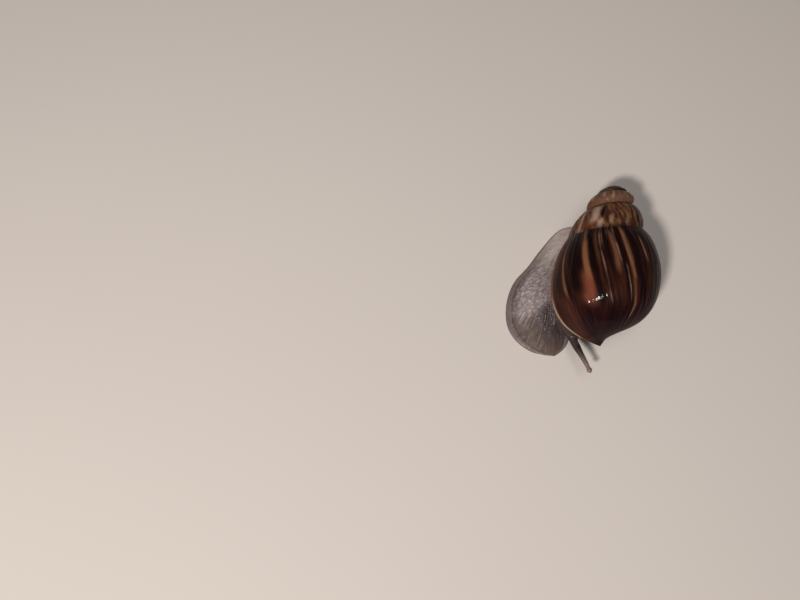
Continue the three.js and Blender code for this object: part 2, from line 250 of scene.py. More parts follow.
def growth_scale(turn, rates, changes):
    """Size of a growth line made some turns before the lip, as a share of the lip's."""
    turn = np.asarray(turn, float)

    def ramp(x):
        return GROWTH_BLEND * np.log1p(np.exp(x / GROWTH_BLEND))

    logarithm = math.log(rates[0]) * turn
    for before, after, change in zip(rates, rates[1:], changes):
        logarithm = logarithm - (math.log(after) - math.log(before)) * (ramp(-turn - change) - ramp(-change))
    return np.exp(logarithm)


def radius_scale(turn):
    """Radius of a growth line as a share of the lip's, with the older whorl's set-off."""
    turn = np.asarray(turn, float)
    stretch = np.exp(-((turn - OFFSET_TURN) / OFFSET_SPREAD) ** 2)
    offset = OFFSET_SHARE * stretch * np.cos(2 * math.pi * turn)
    return growth_scale(turn, RADIUS_GROWTH, RADIUS_CHANGES) * (1 + offset)


def depth_scale(turn):
    """Depth of a growth line as a share of the lip's."""
    return growth_scale(turn, DEPTH_GROWTH, DEPTH_CHANGES)


def depth_at(depth, turn):
    """Depth of a point of the adult lip when it is carried back to another turn."""
    low = smooth_step(WIDEST[1], SHELL_LENGTH, depth)
    lag = BASE_LAG * low * (1 - smooth_step(*LAG_FADE, -np.asarray(turn, float)))
    return depth * depth_scale(turn) ** (1 - lag)


def growth_line():
    """The adult lip as radius and depth at equal shares of its length."""
    base = np.array((BASE_RADIUS, SHELL_LENGTH))
    half = LINE_STEPS // 2
    upper = bezier(SUTURE, SUTURE + SHOULDER_PULL, WIDEST - (0, FLANK_PULL_UP), WIDEST, half)
    lower = bezier(WIDEST, WIDEST + (0, FLANK_PULL_DOWN), base + BASE_PULL, base, half)[1:]
    line = np.vstack((upper, lower))
    run = np.concatenate(((0.0,), np.cumsum(np.linalg.norm(np.diff(line, axis=0), axis=1))))
    place = np.linspace(0, run[-1], LINE_STEPS + 1)
    return np.stack((np.interp(place, run, line[:, 0]), np.interp(place, run, line[:, 1])), axis=1)


LINE = growth_line()
LINE_SHARE = np.linspace(0, 1, len(LINE))


def line_at(share):
    """Radius and depth of the adult lip at a share of its length."""
    return np.interp(share, LINE_SHARE, LINE[:, 0]), np.interp(share, LINE_SHARE, LINE[:, 1])


def line_normal(share):
    """Outward direction of the adult lip, as radius and depth."""
    slope = unit_rows(np.gradient(LINE, axis=0))
    return np.interp(share, LINE_SHARE, slope[:, 1]), -np.interp(share, LINE_SHARE, slope[:, 0])


def shell_points(radius, depth, turn):
    """Points round the shell's axis, from their radius, depth below the tip and turn."""
    angle = 2 * math.pi * np.asarray(turn)
    across = (radius * np.cos(angle))[..., None] * LIP_WAY
    upward = (-radius * np.sin(angle))[..., None] * UP_WAY
    along = (PIVOT_DEPTH - depth)[..., None] * AXIS_WAY
    return PIVOT + across + upward + along


def suture_share(turns):
    """Where each growth line comes out of the whorl before it, as a share of its length."""
    shares = []
    for turn in turns:
        radius = LINE[:, 0] * radius_scale(turn)
        depth = depth_at(LINE[:, 1], turn)
        older_radius = LINE[:, 0] * radius_scale(turn - 1)
        older_depth = depth_at(LINE[:, 1], turn - 1)
        clear = radius - np.interp(depth, older_depth, older_radius, left=0.0, right=0.0)
        first = int(np.argmax(clear > 0))
        if first == 0:
            shares.append(0.0)
            continue
        part = -clear[first - 1] / (clear[first] - clear[first - 1])
        shares.append(LINE_SHARE[first - 1] + part * (LINE_SHARE[1] - LINE_SHARE[0]))
    return np.array(shares)


# ------------------------------------------------------------------ shell mesh

ROWS_PER_TURN = 640
SPIRE_TURNS = 4.5
SPIRE_COLUMNS = 34
BODY_COLUMNS = 120
MOUTH_ROWS = 6
RIM_STEPS = 6
TIP_STEPS = 8
TIP_DEPTH = 0.15
LIP_THICKNESS = 0.7
LIP_FADE = 0.08
MOUTH_START = 0.02
WALL_START = 0.03
SHELL_INSET = 0.15

# Stands in for the turn of the growth vector inside the mouth, well past any real turn.
INSIDE_MARK = 9.0

# The growth lines lean forward where they meet the suture: the lean in turns over the whole
# line, the share of the line where it is nil, the share where it stops, and the turns behind the
# lip over which it sets in.
LINE_LEAN = 0.125
LEAN_NIL = 0.35
LEAN_END = 0.62
LEAN_START = 0.10

# Turns where the snail stopped growing for a while and left a groove.
RESTS = (
    -0.055, -0.118, -0.181, -0.205, -0.243, -0.31, -0.52,
    -0.70, -0.83, -1.13, -1.24, -1.46, -1.9,
)
REST_WIDTH = 0.0035
REST_DEPTH = 0.10

# Growth wrinkles: crests in a turn, and height in millimetres on a whorl of full size.
FINE_CRESTS = 118
FINE_LIFT = 0.060
COARSE_CRESTS = 41
COARSE_LIFT = 0.055
PUCKER_CRESTS = 75
PUCKER_LIFT = 0.07
PUCKER_REACH = 0.05
SWELL_LIFT = 0.03
FULL_RADIUS = 16.0
LEAST_SIZE = 0.10


def growth_relief(turn, share, radius):
    """How far growth wrinkles and rests lift the shell's surface, in millimetres."""
    slanted = growth_place(turn, share)
    patchy = 0.6 + 0.4 * np.sin(share * 13 + slanted * 40)
    fine = ripples(slanted * FINE_CRESTS + 0.5 * np.sin(share * 31), 3) * patchy
    coarse = ripples(slanted * COARSE_CRESTS + 0.4 * np.sin(share * 9), 5)
    rests = sum(bump_at(slanted, place, REST_WIDTH) for place in RESTS)
    puckers = ripples(slanted * PUCKER_CRESTS, 8) * bump_at(share, PUCKER_REACH, PUCKER_REACH)
    swell = np.sin(share * 23 + slanted * 31) * np.sin(slanted * 57)
    size = np.clip(radius / FULL_RADIUS, LEAST_SIZE, 1.0)
    lift = FINE_LIFT * fine + COARSE_LIFT * coarse - REST_DEPTH * rests
    return size * (lift + PUCKER_LIFT * puckers + SWELL_LIFT * swell)


def growth_place(turn, share):
    """Turn of the growth line that runs through a point."""
    lean = LINE_LEAN * (np.minimum(share, LEAN_END) - LEAN_NIL)
    return turn + lean * smooth_step(0.0, LEAN_START, -np.asarray(turn))


def shell_surface(turn, share, inset=0.0):
    """Points of the shell for turns and shares of the growth line, with its growth relief."""
    radius_size = radius_scale(turn)
    radius, depth = line_at(share)
    out_radius, out_depth = line_normal(share)
    radius = radius * radius_size
    depth = depth_at(depth, turn)
    lift = growth_relief(turn, share, radius) - inset
    radius = np.maximum(radius + lift * out_radius, 0.0)
    depth = depth + lift * out_depth
    points = shell_points(radius, depth, turn)
    points[..., 2] = np.maximum(points[..., 2], 0.0)
    return points


def meeting_shares(turns):
    """For each turn, the share of its growth line where the next whorl covers it."""
    depth = line_at(suture_share(turns + 1))[1]
    covered = depth * depth_scale(turns + 1) / depth_scale(turns)
    return np.interp(covered, LINE[:, 1], LINE_SHARE)


class ShellMesh:
    """Points and faces of the shell, with the turn and line share of every face corner."""

    def __init__(self):
        self.points = []
        self.count = 0
        self.faces = []
        self.corners = []

    def add_points(self, points):
        """Takes points in, and gives back their places in the mesh."""
        points = np.asarray(points, float).reshape(-1, 3)
        self.points.append(points)
        index = np.arange(self.count, self.count + len(points))
        self.count += len(points)
        return index

    def add_face(self, face, corners):
        """A face of any number of corners; corners that fall together are dropped."""
        keep = [k for k in range(len(face)) if face[k] != face[k - 1]]
        if len(keep) > 2:
            self.faces.append([int(face[k]) for k in keep])
            self.corners.extend(corners[k] for k in keep)

    def add_grid(self, index, turn, share):
        """Four-cornered faces over a grid of points."""
        where = np.stack((turn, share), axis=-1)
        corners = np.stack((where[:-1, :-1], where[:-1, 1:], where[1:, 1:], where[1:, :-1]), axis=2)
        for face, corner in zip(grid_faces(index).tolist(), corners.reshape(-1, 4, 2).tolist()):
            self.add_face(face, corner)

    def add_fan(self, middle, edge, turn, share):
        """Three-cornered faces between a middle point and an edge."""
        for k in range(len(edge) - 1):
            self.add_face(
                (middle, edge[k], edge[k + 1]),
                ((turn[k], share[k]), (turn[k], share[k]), (turn[k + 1], share[k + 1])),
            )


def shell_mesh():
    """The spire, the last whorl and the inside of the mouth as one closed surface."""
    whole = ShellMesh()
    rows = int(ROWS_PER_TURN * SPIRE_TURNS)
    turns = np.arange(-rows, 1) / ROWS_PER_TURN
    first = suture_share(turns)
    lip_back = rows - ROWS_PER_TURN

    # The suture: the points where each growth line leaves the whorl before it.
    suture = whole.add_points(shell_surface(turns, first, SHELL_INSET))

    # The spire: each row runs from its own suture to the suture one turn later.
    spire_turns = turns[:lip_back + 1]
    meet = meeting_shares(spire_turns)
    blend = np.linspace(0, 1, SPIRE_COLUMNS + 1)
    share = first[:lip_back + 1, None] * (1 - blend) + meet[:, None] * blend
    turn = np.repeat(spire_turns[:, None], SPIRE_COLUMNS + 1, axis=1)
    index = np.empty(turn.shape, int)
    index[:, 0] = suture[:lip_back + 1]
    index[:, -1] = suture[ROWS_PER_TURN:]
    inner = whole.add_points(shell_surface(turn[:, 1:-1], share[:, 1:-1], SHELL_INSET))
    index[:, 1:-1] = inner.reshape(lip_back + 1, -1)
    whole.add_grid(index, turn, share)
    add_tip(whole, turns[:ROWS_PER_TURN + 1], first, suture, index[0])
    spire_end = index[-1]

    # The last whorl: each row runs from its suture down to the base.
    body_turns = turns[lip_back:]
    below = np.linspace(0, 1, BODY_COLUMNS + 1)[1:]
    line = np.concatenate((share[-1], meet[-1] + (1 - meet[-1]) * below))
    place = (line - line[0]) / (1 - line[0])
    share = first[lip_back:, None] + (1 - first[lip_back:, None]) * place[None, :]
    turn = np.repeat(body_turns[:, None], share.shape[1], axis=1)
    index = np.empty(turn.shape, int)
    index[:, 0] = suture[lip_back:]
    index[0, :SPIRE_COLUMNS + 1] = spire_end
    wall = slice(SPIRE_COLUMNS + 1, None)
    index[0, wall] = whole.add_points(shell_surface(turn[0, wall], share[0, wall], SHELL_INSET))
    body = whole.add_points(shell_surface(turn[1:, 1:], share[1:, 1:], SHELL_INSET))
    index[1:, 1:] = body.reshape(len(body_turns) - 1, -1)
    whole.add_grid(index, turn, share)

    middle_depth = SHELL_LENGTH * depth_scale(-0.5)
    middle = whole.add_points(shell_points(np.zeros(1), np.full(1, middle_depth), np.zeros(1)))[0]
    whole.add_fan(middle, index[:, -1], body_turns, np.ones(len(body_turns)))
    add_mouth(whole, index[-1], share[-1], index[0, SPIRE_COLUMNS:], share[0, SPIRE_COLUMNS:], middle)
    return whole


def add_tip(whole, turns, first, suture, oldest_row):
    """The rounded beginning of the shell, a dome over the first turn."""
    radius, depth = line_at(first[:len(turns)])
    radius = radius * radius_scale(turns) - 0.5 * SHELL_INSET
    depth = depth * depth_scale(turns)
    edge = suture[:len(turns)]
    dome = [edge]
    for step in range(1, TIP_STEPS):
        swing = 0.5 * math.pi * step / TIP_STEPS
        lift = (depth - TIP_DEPTH) * math.sin(swing)
        dome.append(whole.add_points(shell_points(radius * math.cos(swing), depth - lift, turns)))
    dome = np.array(dome)
    turn = np.repeat(turns[None, :], len(dome), axis=0)
    share = np.zeros(turn.shape)
    whole.add_grid(dome, turn, share)
    top = whole.add_points(shell_points(np.zeros(1), np.full(1, TIP_DEPTH), np.zeros(1)))[0]
    whole.add_fan(top, dome[-1], turns, share[-1])
    step_face = [top, *dome[::-1, 0], *oldest_row[1:-1], *dome[:, -1]]
    whole.add_face(step_face, [(turns[0], 0.0)] * len(step_face))


def add_mouth(whole, lip_row, lip_share, wall_row, wall_share, middle):
    """The rounded lip and the inside of the mouth, closed a little way in."""
    fade = smooth_step(0.0, LIP_FADE, lip_share - lip_share[0])
    rim = lip_row
    rim_turn = np.zeros(len(lip_share))
    for step in range(1, RIM_STEPS + 1):
        swing = math.pi * step / RIM_STEPS
        inset = SHELL_INSET + 0.5 * LIP_THICKNESS * (1 - math.cos(swing)) * fade
        ahead = 0.5 * LIP_THICKNESS * math.sin(swing) * fade / (2 * math.pi * WIDEST[0])
        row = whole.add_points(shell_surface(ahead, lip_share, inset))
        row[0] = lip_row[0]
        shares = np.array((lip_share, lip_share))
        whole.add_grid(np.array((rim, row)), np.array((rim_turn, ahead)), shares)
        whole.add_face((rim[-1], middle, row[-1]), [(0.0, 1.0)] * 3)
        rim = row
        rim_turn = ahead
    ring = np.concatenate((rim, (middle,), wall_row[::-1]))
    ring_share = np.concatenate((lip_share, (1.0,), wall_share[::-1]))
    inside = np.full(len(ring), INSIDE_MARK)
    for step in range(1, MOUTH_ROWS + 1):
        turn = -MOUTH_TURN * step / MOUTH_ROWS
        outer_share = lip_share + MOUTH_START * (1 - lip_share) / (1 - lip_share[0])
        outer_turn = np.full(len(outer_share), turn)
        outer = shell_surface(outer_turn, outer_share, SHELL_INSET + LIP_THICKNESS)
        inner_share = wall_share + WALL_START * (1 - wall_share) / (1 - wall_share[0])
        inner_turn = np.full(len(inner_share), turn - 1)
        inner = shell_surface(inner_turn, inner_share, SHELL_INSET)
        outer_row = whole.add_points(outer)
        inner_row = whole.add_points(inner)
        row = np.concatenate((outer_row, (middle,), inner_row[::-1]))
        shares = np.array((ring_share, ring_share))
        whole.add_grid(np.array((ring, row)), np.array((inside, inside)), shares)
        whole.add_face((ring[-1], ring[0], row[0], row[-1]), [(INSIDE_MARK, 0.0)] * 4)
        ring = row
    whole.add_face(ring[::-1], [(INSIDE_MARK, 0.0)] * len(ring))


# ------------------------------------------------------------------ shell markings

# Streaks of the last whorl: place along the growth, half width, share from, share to, and strength.
TAN_STREAKS = (
    (-0.056, 0.0034, 0.08, 0.56, 0.75),
    (-0.133, 0.0045, 0.07, 0.22, 0.60),
    (-0.133, 0.0080, 0.17, 0.46, 1.00),
    (-0.168, 0.0050, 0.10, 0.36, 0.22),
    (-0.219, 0.0068, 0.12, 0.42, 0.58),
    (-0.258, 0.0052, 0.07, 0.48, 0.90),
    (-0.256, 0.0050, 0.44, 0.70, 0.45),
    (-0.319, 0.0034, 0.15, 0.33, 0.85),
)
BLACK_STREAKS = (
    (-0.026, 0.0080, 0.30, 0.84, 0.45),
    (-0.110, 0.0080, 0.62, 0.88, 0.55),
    (-0.262, 0.0120, 0.66, 0.92, 0.70),
    (-0.096, 0.0220, 0.00, 0.56, 0.90),
    (-0.153, 0.0085, 0.03, 0.64, 1.00),
    (-0.186, 0.0110, 0.60, 0.86, 0.75),
    (-0.200, 0.0080, 0.08, 0.50, 0.70),
    (-0.240, 0.0070, 0.12, 0.66, 0.80),
    (-0.282, 0.0110, 0.03, 0.60, 0.85),
    (-0.345, 0.0140, 0.00, 0.60, 0.60),
)
RUST_STREAKS = (
    (-0.124, 0.0190, 0.40, 0.62, 1.00),
    (-0.036, 0.0260, 0.55, 0.92, 0.20),
    (-0.022, 0.0120, 0.10, 0.62, 0.25),
)
PALE_STREAKS = (
    (-0.181, 0.0015, 0.10, 0.62, 0.80),
    (-0.188, 0.0013, 0.04, 0.26, 0.60),
    (-0.229, 0.0014, 0.06, 0.40, 0.80),
    (-0.241, 0.0015, 0.38, 0.60, 0.90),
    (-0.254, 0.0014, 0.58, 0.78, 0.80),
    (-0.205, 0.0012, 0.02, 0.16, 0.60),
    (-0.213, 0.0012, 0.02, 0.14, 0.55),
    (-0.266, 0.0013, 0.10, 0.36, 0.50),
    (-0.317, 0.0014, 0.17, 0.32, 0.70),
)

# Patches of the whorl before the last: turn, half width, share from, share to, and strength.
SPIRE_PALE = (
    (-1.066, 0.0055, 0.15, 0.46, 0.75),
    (-1.126, 0.0160, 0.10, 0.36, 1.00),
    (-1.150, 0.0100, 0.32, 0.47, 0.80),
    (-1.196, 0.0070, 0.28, 0.42, 0.40),
    (-1.262, 0.0055, 0.35, 0.47, 0.60),
)
SPIRE_DARK = (
    (-1.030, 0.0100, 0.00, 0.50, 0.75),
    (-1.092, 0.0070, 0.05, 0.32, 0.45),
    (-1.158, 0.0110, 0.06, 0.32, 1.00),
    (-1.176, 0.0080, 0.22, 0.46, 0.60),
    (-1.210, 0.0050, 0.05, 0.40, 0.45),
    (-1.228, 0.0060, 0.20, 0.40, 0.30),
    (-1.250, 0.0300, 0.32, 0.46, 0.45),
    (-1.292, 0.0060, 0.10, 0.46, 0.80),
    (-1.330, 0.0150, 0.05, 0.46, 1.00),
    (-3.300, 0.2500, 0.00, 1.00, 0.90),
)
SPIRE_ORANGE = (
    (-1.045, 0.0060, 0.10, 0.45, 0.60),
    (-1.105, 0.0260, 0.30, 0.46, 0.95),
    (-1.196, 0.0140, 0.06, 0.30, 0.55),
)


def streak_mask(place, share, streaks, edge=0.65):
    """How strongly a list of streaks covers each point, from 0 to 1."""
    mask = np.zeros(place.shape)
    for middle, half_width, first, last, strength in streaks:
        wander = 0.18 * half_width * np.sin(share * 21 + middle * 90)
        gap = np.abs(place - middle - wander)
        across = 1 - smooth_step(half_width * (1 - edge), half_width * (1 + edge), gap)
        starts = smooth_step(first - 0.03, first + 0.05, share)
        ends = smooth_step(last - 0.06, last + 0.04, share)
        mask = np.maximum(mask, strength * across * starts * (1 - ends))
    return mask


def grown_streaks(seed, first_turn, last_turn, gap, half_widths, strengths, shares=(0.0, 0.75)):
    """Streaks scattered at uneven gaps over the part of the shell between two turns."""
    rng = np.random.default_rng(seed)
    streaks = []
    turn = last_turn
    while turn > first_turn:
        turn -= gap * rng.uniform(0.5, 1.5)
        start = rng.uniform(shares[0], shares[0] + 0.2 * (shares[1] - shares[0]))
        end = rng.uniform(start + 0.35 * (shares[1] - shares[0]), shares[1])
        streaks.append((turn, rng.uniform(*half_widths), start, end, rng.uniform(*strengths)))
    return tuple(streaks)


# The turns between which the hidden side of the last whorl and the older whorls carry scattered
# streaks, and the shares of the growth line that those of the older whorls keep to.
BODY_SIDE = (-1.0, -0.36)
SPIRE_SIDE = (-SPIRE_TURNS - 0.5, -1.35)
SPIRE_DARK_SIDE = (-2.0, -1.35)
SPIRE_SHARES = (0.0, 0.5)

BODY_MARKINGS = {
    "tan": TAN_STREAKS + grown_streaks(11, *BODY_SIDE, 0.055, (0.004, 0.011), (0.3, 0.9)),
    "black": BLACK_STREAKS + grown_streaks(12, *BODY_SIDE, 0.05, (0.006, 0.016), (0.4, 0.9)),
    "rust": RUST_STREAKS + grown_streaks(13, *BODY_SIDE, 0.09, (0.01, 0.02), (0.3, 0.8), (0.2, 0.9)),
    "pale": PALE_STREAKS + grown_streaks(14, *BODY_SIDE, 0.04, (0.0012, 0.0026), (0.4, 0.8)),
}

# Softness of the patches of the older whorls, and the patches.
SPIRE_MARKINGS = {
    "spire_pale": (0.9, SPIRE_PALE + grown_streaks(
        15, *SPIRE_SIDE, 0.07, (0.005, 0.014), (0.3, 0.7), SPIRE_SHARES)),
    "spire_dark": (0.85, SPIRE_DARK + grown_streaks(
        16, *SPIRE_DARK_SIDE, 0.07, (0.006, 0.014), (0.4, 0.9), SPIRE_SHARES)),
    "spire_orange": (0.9, SPIRE_ORANGE + grown_streaks(
        17, *SPIRE_SIDE, 0.06, (0.008, 0.02), (0.4, 0.9), SPIRE_SHARES)),
}


def lip_bands(turn, share):
    """The golden band behind the lip, and the pale edge of the lip itself."""
    gold = smooth_step(-0.020, -0.006, turn) * smooth_step(0.22, 0.34, share)
    gold = 0.9 * gold * (1 - smooth_step(0.88, 0.94, share))
    broad = smooth_step(-0.0150, -0.0090, turn) * smooth_step(0.50, 0.64, share)
    broad = broad * (1 - smooth_step(0.83, 0.90, share))
    thin = 0.3 * smooth_step(-0.002, 0.001, turn) * (1 - smooth_step(0.83, 0.95, share))
    return {"gold": gold, "lip": np.maximum(broad, thin)}


def shell_markings(turn, share):
    """Strength of every marking at points of the shell, by name."""
    spire = 1 - smooth_step(-1.012, -0.992, turn)
    body = 1 - spire
    inside = (turn > 0.5 * INSIDE_MARK).astype(float)
    suture_band = bump_at(share, 0.47, 0.05) * spire * smooth_step(-2.1, -1.9, turn)
    below = smooth_step(0.56, 0.74, share) * smooth_step(0.03, 0.07, -turn)
    slanted = growth_place(turn, share)
    markings = lip_bands(np.where(inside > 0, -1.0, turn), share)
    for name, streaks in BODY_MARKINGS.items():
        markings[name] = streak_mask(slanted, share, streaks) * body
    for name, (edge, streaks) in SPIRE_MARKINGS.items():
        markings[name] = streak_mask(turn, share, streaks, edge) * spire
    markings["black"] = np.maximum(markings["black"], 0.6 * suture_band)
    markings["spire_dark"] = np.maximum(markings["spire_dark"], 0.8 * suture_band * spire)
    markings["spire"] = spire * (1 - inside)
    markings["low"] = below * body * (1 - inside)
    markings["young"] = smooth_step(1.85, 2.25, -turn) * (1 - inside)
    markings["inside"] = inside
    return markings


# ------------------------------------------------------------------ materials

class Finish:
    """A node material with one glossy shader, and short calls for its nodes."""

    def __init__(self, name):
        self.material = bpy.data.materials.new(name)
        self.material.use_nodes = True
        self.tree = self.material.node_tree
        self.tree.nodes.clear()
        output = self.tree.nodes.new("ShaderNodeOutputMaterial")
        self.shader = self.tree.nodes.new("ShaderNodeBsdfPrincipled")
        self.tree.links.new(self.shader.outputs["BSDF"], output.inputs["Surface"])

    def join(self, source, target):
        """Links an output to a socket, or sets the socket to a plain value."""
        if isinstance(source, bpy.types.NodeSocket):
            self.tree.links.new(source, target)
        else:
            target.default_value = source

    def node(self, kind, output, inputs, **options):
        """One of the outputs of a new node, with its options set and its inputs joined."""
        node = self.tree.nodes.new("ShaderNode" + kind)
        for name, value in options.items():
            setattr(node, name, value)
        for name, value in inputs.items():
            self.join(value, node.inputs[name])
        return node.outputs[output]

    def place(self):
        """Place on the piece, in metres."""
        return self.node("TexCoord", "Object", {})

    def attribute(self, name, output="Fac"):
        """A number or vector stored on the mesh."""
        return self.node("Attribute", output, {}, attribute_name=name)

    def math(self, operation, first, second=0.0, clamp=False):
        """Two numbers put together."""
        return self.node("Math", 0, {0: first, 1: second}, operation=operation, use_clamp=clamp)

    def stretched(self, vector, scale):
        """A place stretched along its three axes."""
        return self.node("Mapping", "Vector", {"Vector": vector, "Scale": scale})

    def noise(self, vector, scale, detail=3.0, roughness=0.55):
        """Cloudy noise, mostly between 0.3 and 0.7."""
        inputs = {"Vector": vector, "Scale": scale, "Detail": detail, "Roughness": roughness}
        return self.node("TexNoise", "Fac", inputs)

    def cells(self, vector, scale):
        """Distance from the middle of the nearest cell."""
        return self.node("TexVoronoi", "Distance", {"Vector": vector, "Scale": scale})

    def remap(self, value, low, high, new_low=0.0, new_high=1.0):
        """A number moved softly from one range to another."""
        inputs = {"Value": value, "From Min": low, "From Max": high, "To Min": new_low, "To Max": new_high}
        return self.node("MapRange", "Result", inputs, interpolation_type="SMOOTHSTEP")

    def mix(self, share, first, second):
        """The first colour, with a share of the second."""
        return self.node("Mix", "Result", {"Factor": share, "A": first, "B": second}, data_type="RGBA")

    def painted(self, base, name, tone, wear=1.0):
        """A tone laid over a colour where an attribute says, less where it is worn."""
        strength = self.math("MULTIPLY", self.attribute(name), wear, True)
        return self.mix(strength, base, solid(tone))

    def bump(self, height, distance, strength=1.0, below=None):
        """Fine relief, on top of another one if that is given."""
        inputs = {"Height": height, "Distance": distance, "Strength": strength}
        if below is not None:
            inputs["Normal"] = below
        return self.node("Bump", "Normal", inputs)

    def set(self, **values):
        """Sets or joins inputs of the shader."""
        for name, value in values.items():
            self.join(value, self.shader.inputs[name.replace("_", " ")])


def solid(colour):
    """A colour with full opacity."""
    return (*colour[:3], 1.0)


def shell_finish(settings):
    """Glossy dark horn with streaks that follow the growth lines."""
    finish = Finish("glossy_shell")
    growth = finish.attribute("growth", "Vector")
    fine = finish.noise(finish.stretched(growth, (3.2, 0.10, 1)), 1.0, 4.0, 0.65)
    broad = finish.noise(finish.stretched(growth, (0.75, 0.05, 1)), 1.0, 3.0)
    cloud = finish.noise(finish.stretched(growth, (0.12, 0.14, 1)), 1.0, 3.0)
    speckle = finish.noise(finish.place(), 2600.0, 2.0)

    brown = finish.mix(finish.remap(fine, 0.35, 0.68), solid(settings.dark), solid(settings.brown))
    colour = finish.mix(finish.remap(broad, 0.42, 0.70, 0.0, 0.5), brown, solid(settings.chestnut))
    colour = finish.mix(finish.remap(cloud, 0.50, 0.72, 0.0, 0.5), colour, solid(settings.maroon))
    colour = finish.painted(colour, "low", settings.maroon, finish.remap(broad, 0.35, 0.65, 0.95, 0.50))
    ragged = finish.remap(fine, 0.30, 0.55, 0.55, 1.0)
    streaky = finish.remap(broad, 0.25, 0.60, 0.6, 1.0)
    breaks = finish.noise(finish.stretched(growth, (0.9, 0.15, 1)), 1.0, 4.0)
    broken = finish.remap(breaks, 0.38, 0.62, 0.15, 0.9)

    colour = finish.painted(colour, "rust", settings.rust, streaky)
    colour = finish.painted(colour, "tan", settings.tan, ragged)
    colour = finish.painted(colour, "black", settings.black, streaky)
    colour = finish.painted(colour, "pale", settings.pale, broken)

    patches = finish.noise(finish.stretched(growth, (0.55, 0.09, 1)), 1.0, 4.0, 0.60)
    flecks = finish.noise(finish.stretched(growth, (2.0, 0.10, 1)), 1.0, 4.0, 0.60)
    old = finish.mix(finish.remap(patches, 0.40, 0.56), solid(settings.ochre), solid(settings.plum))
    old = finish.mix(finish.remap(flecks, 0.50, 0.72, 0.0, 0.5), old, solid(settings.orange))
    old = finish.mix(finish.remap(flecks, 0.28, 0.50, 0.55, 0.0), old, solid(settings.chestnut))
    bleached = finish.remap(patches, 0.44, 0.66, 0.0, 0.35)
    young = finish.mix(bleached, solid(settings.peach), solid(settings.cream))
    young = finish.mix(finish.remap(flecks, 0.44, 0.64, 0.0, 0.65), young, solid(settings.chestnut))
    old = finish.mix(finish.attribute("young"), old, young)
    old = finish.painted(old, "spire_orange", settings.orange, streaky)
    old = finish.painted(old, "spire_pale", settings.cream, ragged)
    old = finish.painted(old, "spire_dark", settings.dark, streaky)
    colour = finish.mix(finish.attribute("spire"), colour, old)
    colour = finish.painted(colour, "gold", settings.gold, ragged)
    colour = finish.painted(colour, "lip", settings.lip)
    colour = finish.painted(colour, "inside", settings.inside)

    worn = finish.math("MULTIPLY", finish.remap(speckle, 0.45, 0.75), 0.08)
    rough = finish.math("ADD", finish.remap(fine, 0.3, 0.7, 0.26, 0.40), worn)
    lines = finish.bump(fine, 0.00015, 1.0)
    relief = finish.bump(speckle, 0.00002, 0.4, lines)
    finish.set(Base_Color=colour, Roughness=rough, Normal=relief)
    finish.set(Coat_Weight=0.16, Coat_Roughness=0.045, Specular_IOR_Level=0.02)
    return finish.material


# ------------------------------------------------------------------ the shell as a piece

# Steps of the growth vector over one turn and over one whole growth line.
GROWTH_SCALE = (120.0, 60.0)


def build_shell(settings):
    """The shell as one piece, with its growth vector and markings stored for the material."""
    whole = shell_mesh()
    piece = mesh_object("spiral_shell", np.concatenate(whole.points), whole.faces)
    corners = np.array(whole.corners)
    turn, share = corners[:, 0], corners[:, 1]
    mesh = piece.data
    if len(mesh.loops) != len(corners):
        raise RuntimeError("the shell's mesh lost faces")
    growth = np.stack((growth_place(turn, share) * GROWTH_SCALE[0], share * GROWTH_SCALE[1],
                       np.floor(turn)), axis=1)
    layer = mesh.attributes.new("growth", "FLOAT_VECTOR", "CORNER")
    layer.data.foreach_set("vector", growth.astype(np.float32).ravel())
    for name, strength in shell_markings(turn, share).items():
        layer = mesh.attributes.new(name, "FLOAT", "CORNER")
        layer.data.foreach_set("value", strength.astype(np.float32))
    turn_faces_out(mesh)
    mesh.materials.append(shell_finish(settings))
    return piece


def turn_faces_out(mesh):
    """Turns every face of a closed mesh to look outward."""
    shape = bmesh.new()
    shape.from_mesh(mesh)
    bmesh.ops.recalc_face_normals(shape, faces=shape.faces)
    shape.to_mesh(mesh)
    shape.free()


# ------------------------------------------------------------------ flesh shape

FLESH_NODES = (
    "mantle", "neck", "head", "foot_front", "foot_middle", "tail",
    "upper_feeler_right", "upper_feeler_left", "lower_feeler_right", "lower_feeler_left",
)
FOOT_ROWS = 160
BACK_COLUMNS = 56
FOOT_SAMPLES = 120

# The mantle: its gap to the outside of the shell, the radius of its inner side, its shares along
# the lip, and its turns from inside the mouth to just past the lip.
MANTLE_INSET = 1.15
MANTLE_CORE = 4.5
MANTLE_SPAN = (0.16, 0.86)
MANTLE_START = 0.02
MANTLE_END = 0.022
MANTLE_COLUMNS = 50
MANTLE_ROWS = 14

# The soft lobe beside the mouth, from the snout's middle. The other side's lobe mirrors it.
MOUTH_LOBE = (0.95, -1.9, -1.1)
MOUTH_LOBE_RADII = (1.05, 1.0, 1.3)


# A direction that no limb runs along, from which its cross-sections take their bearing.
SIDE_GUIDE = (0.13, 0.21, 0.97)


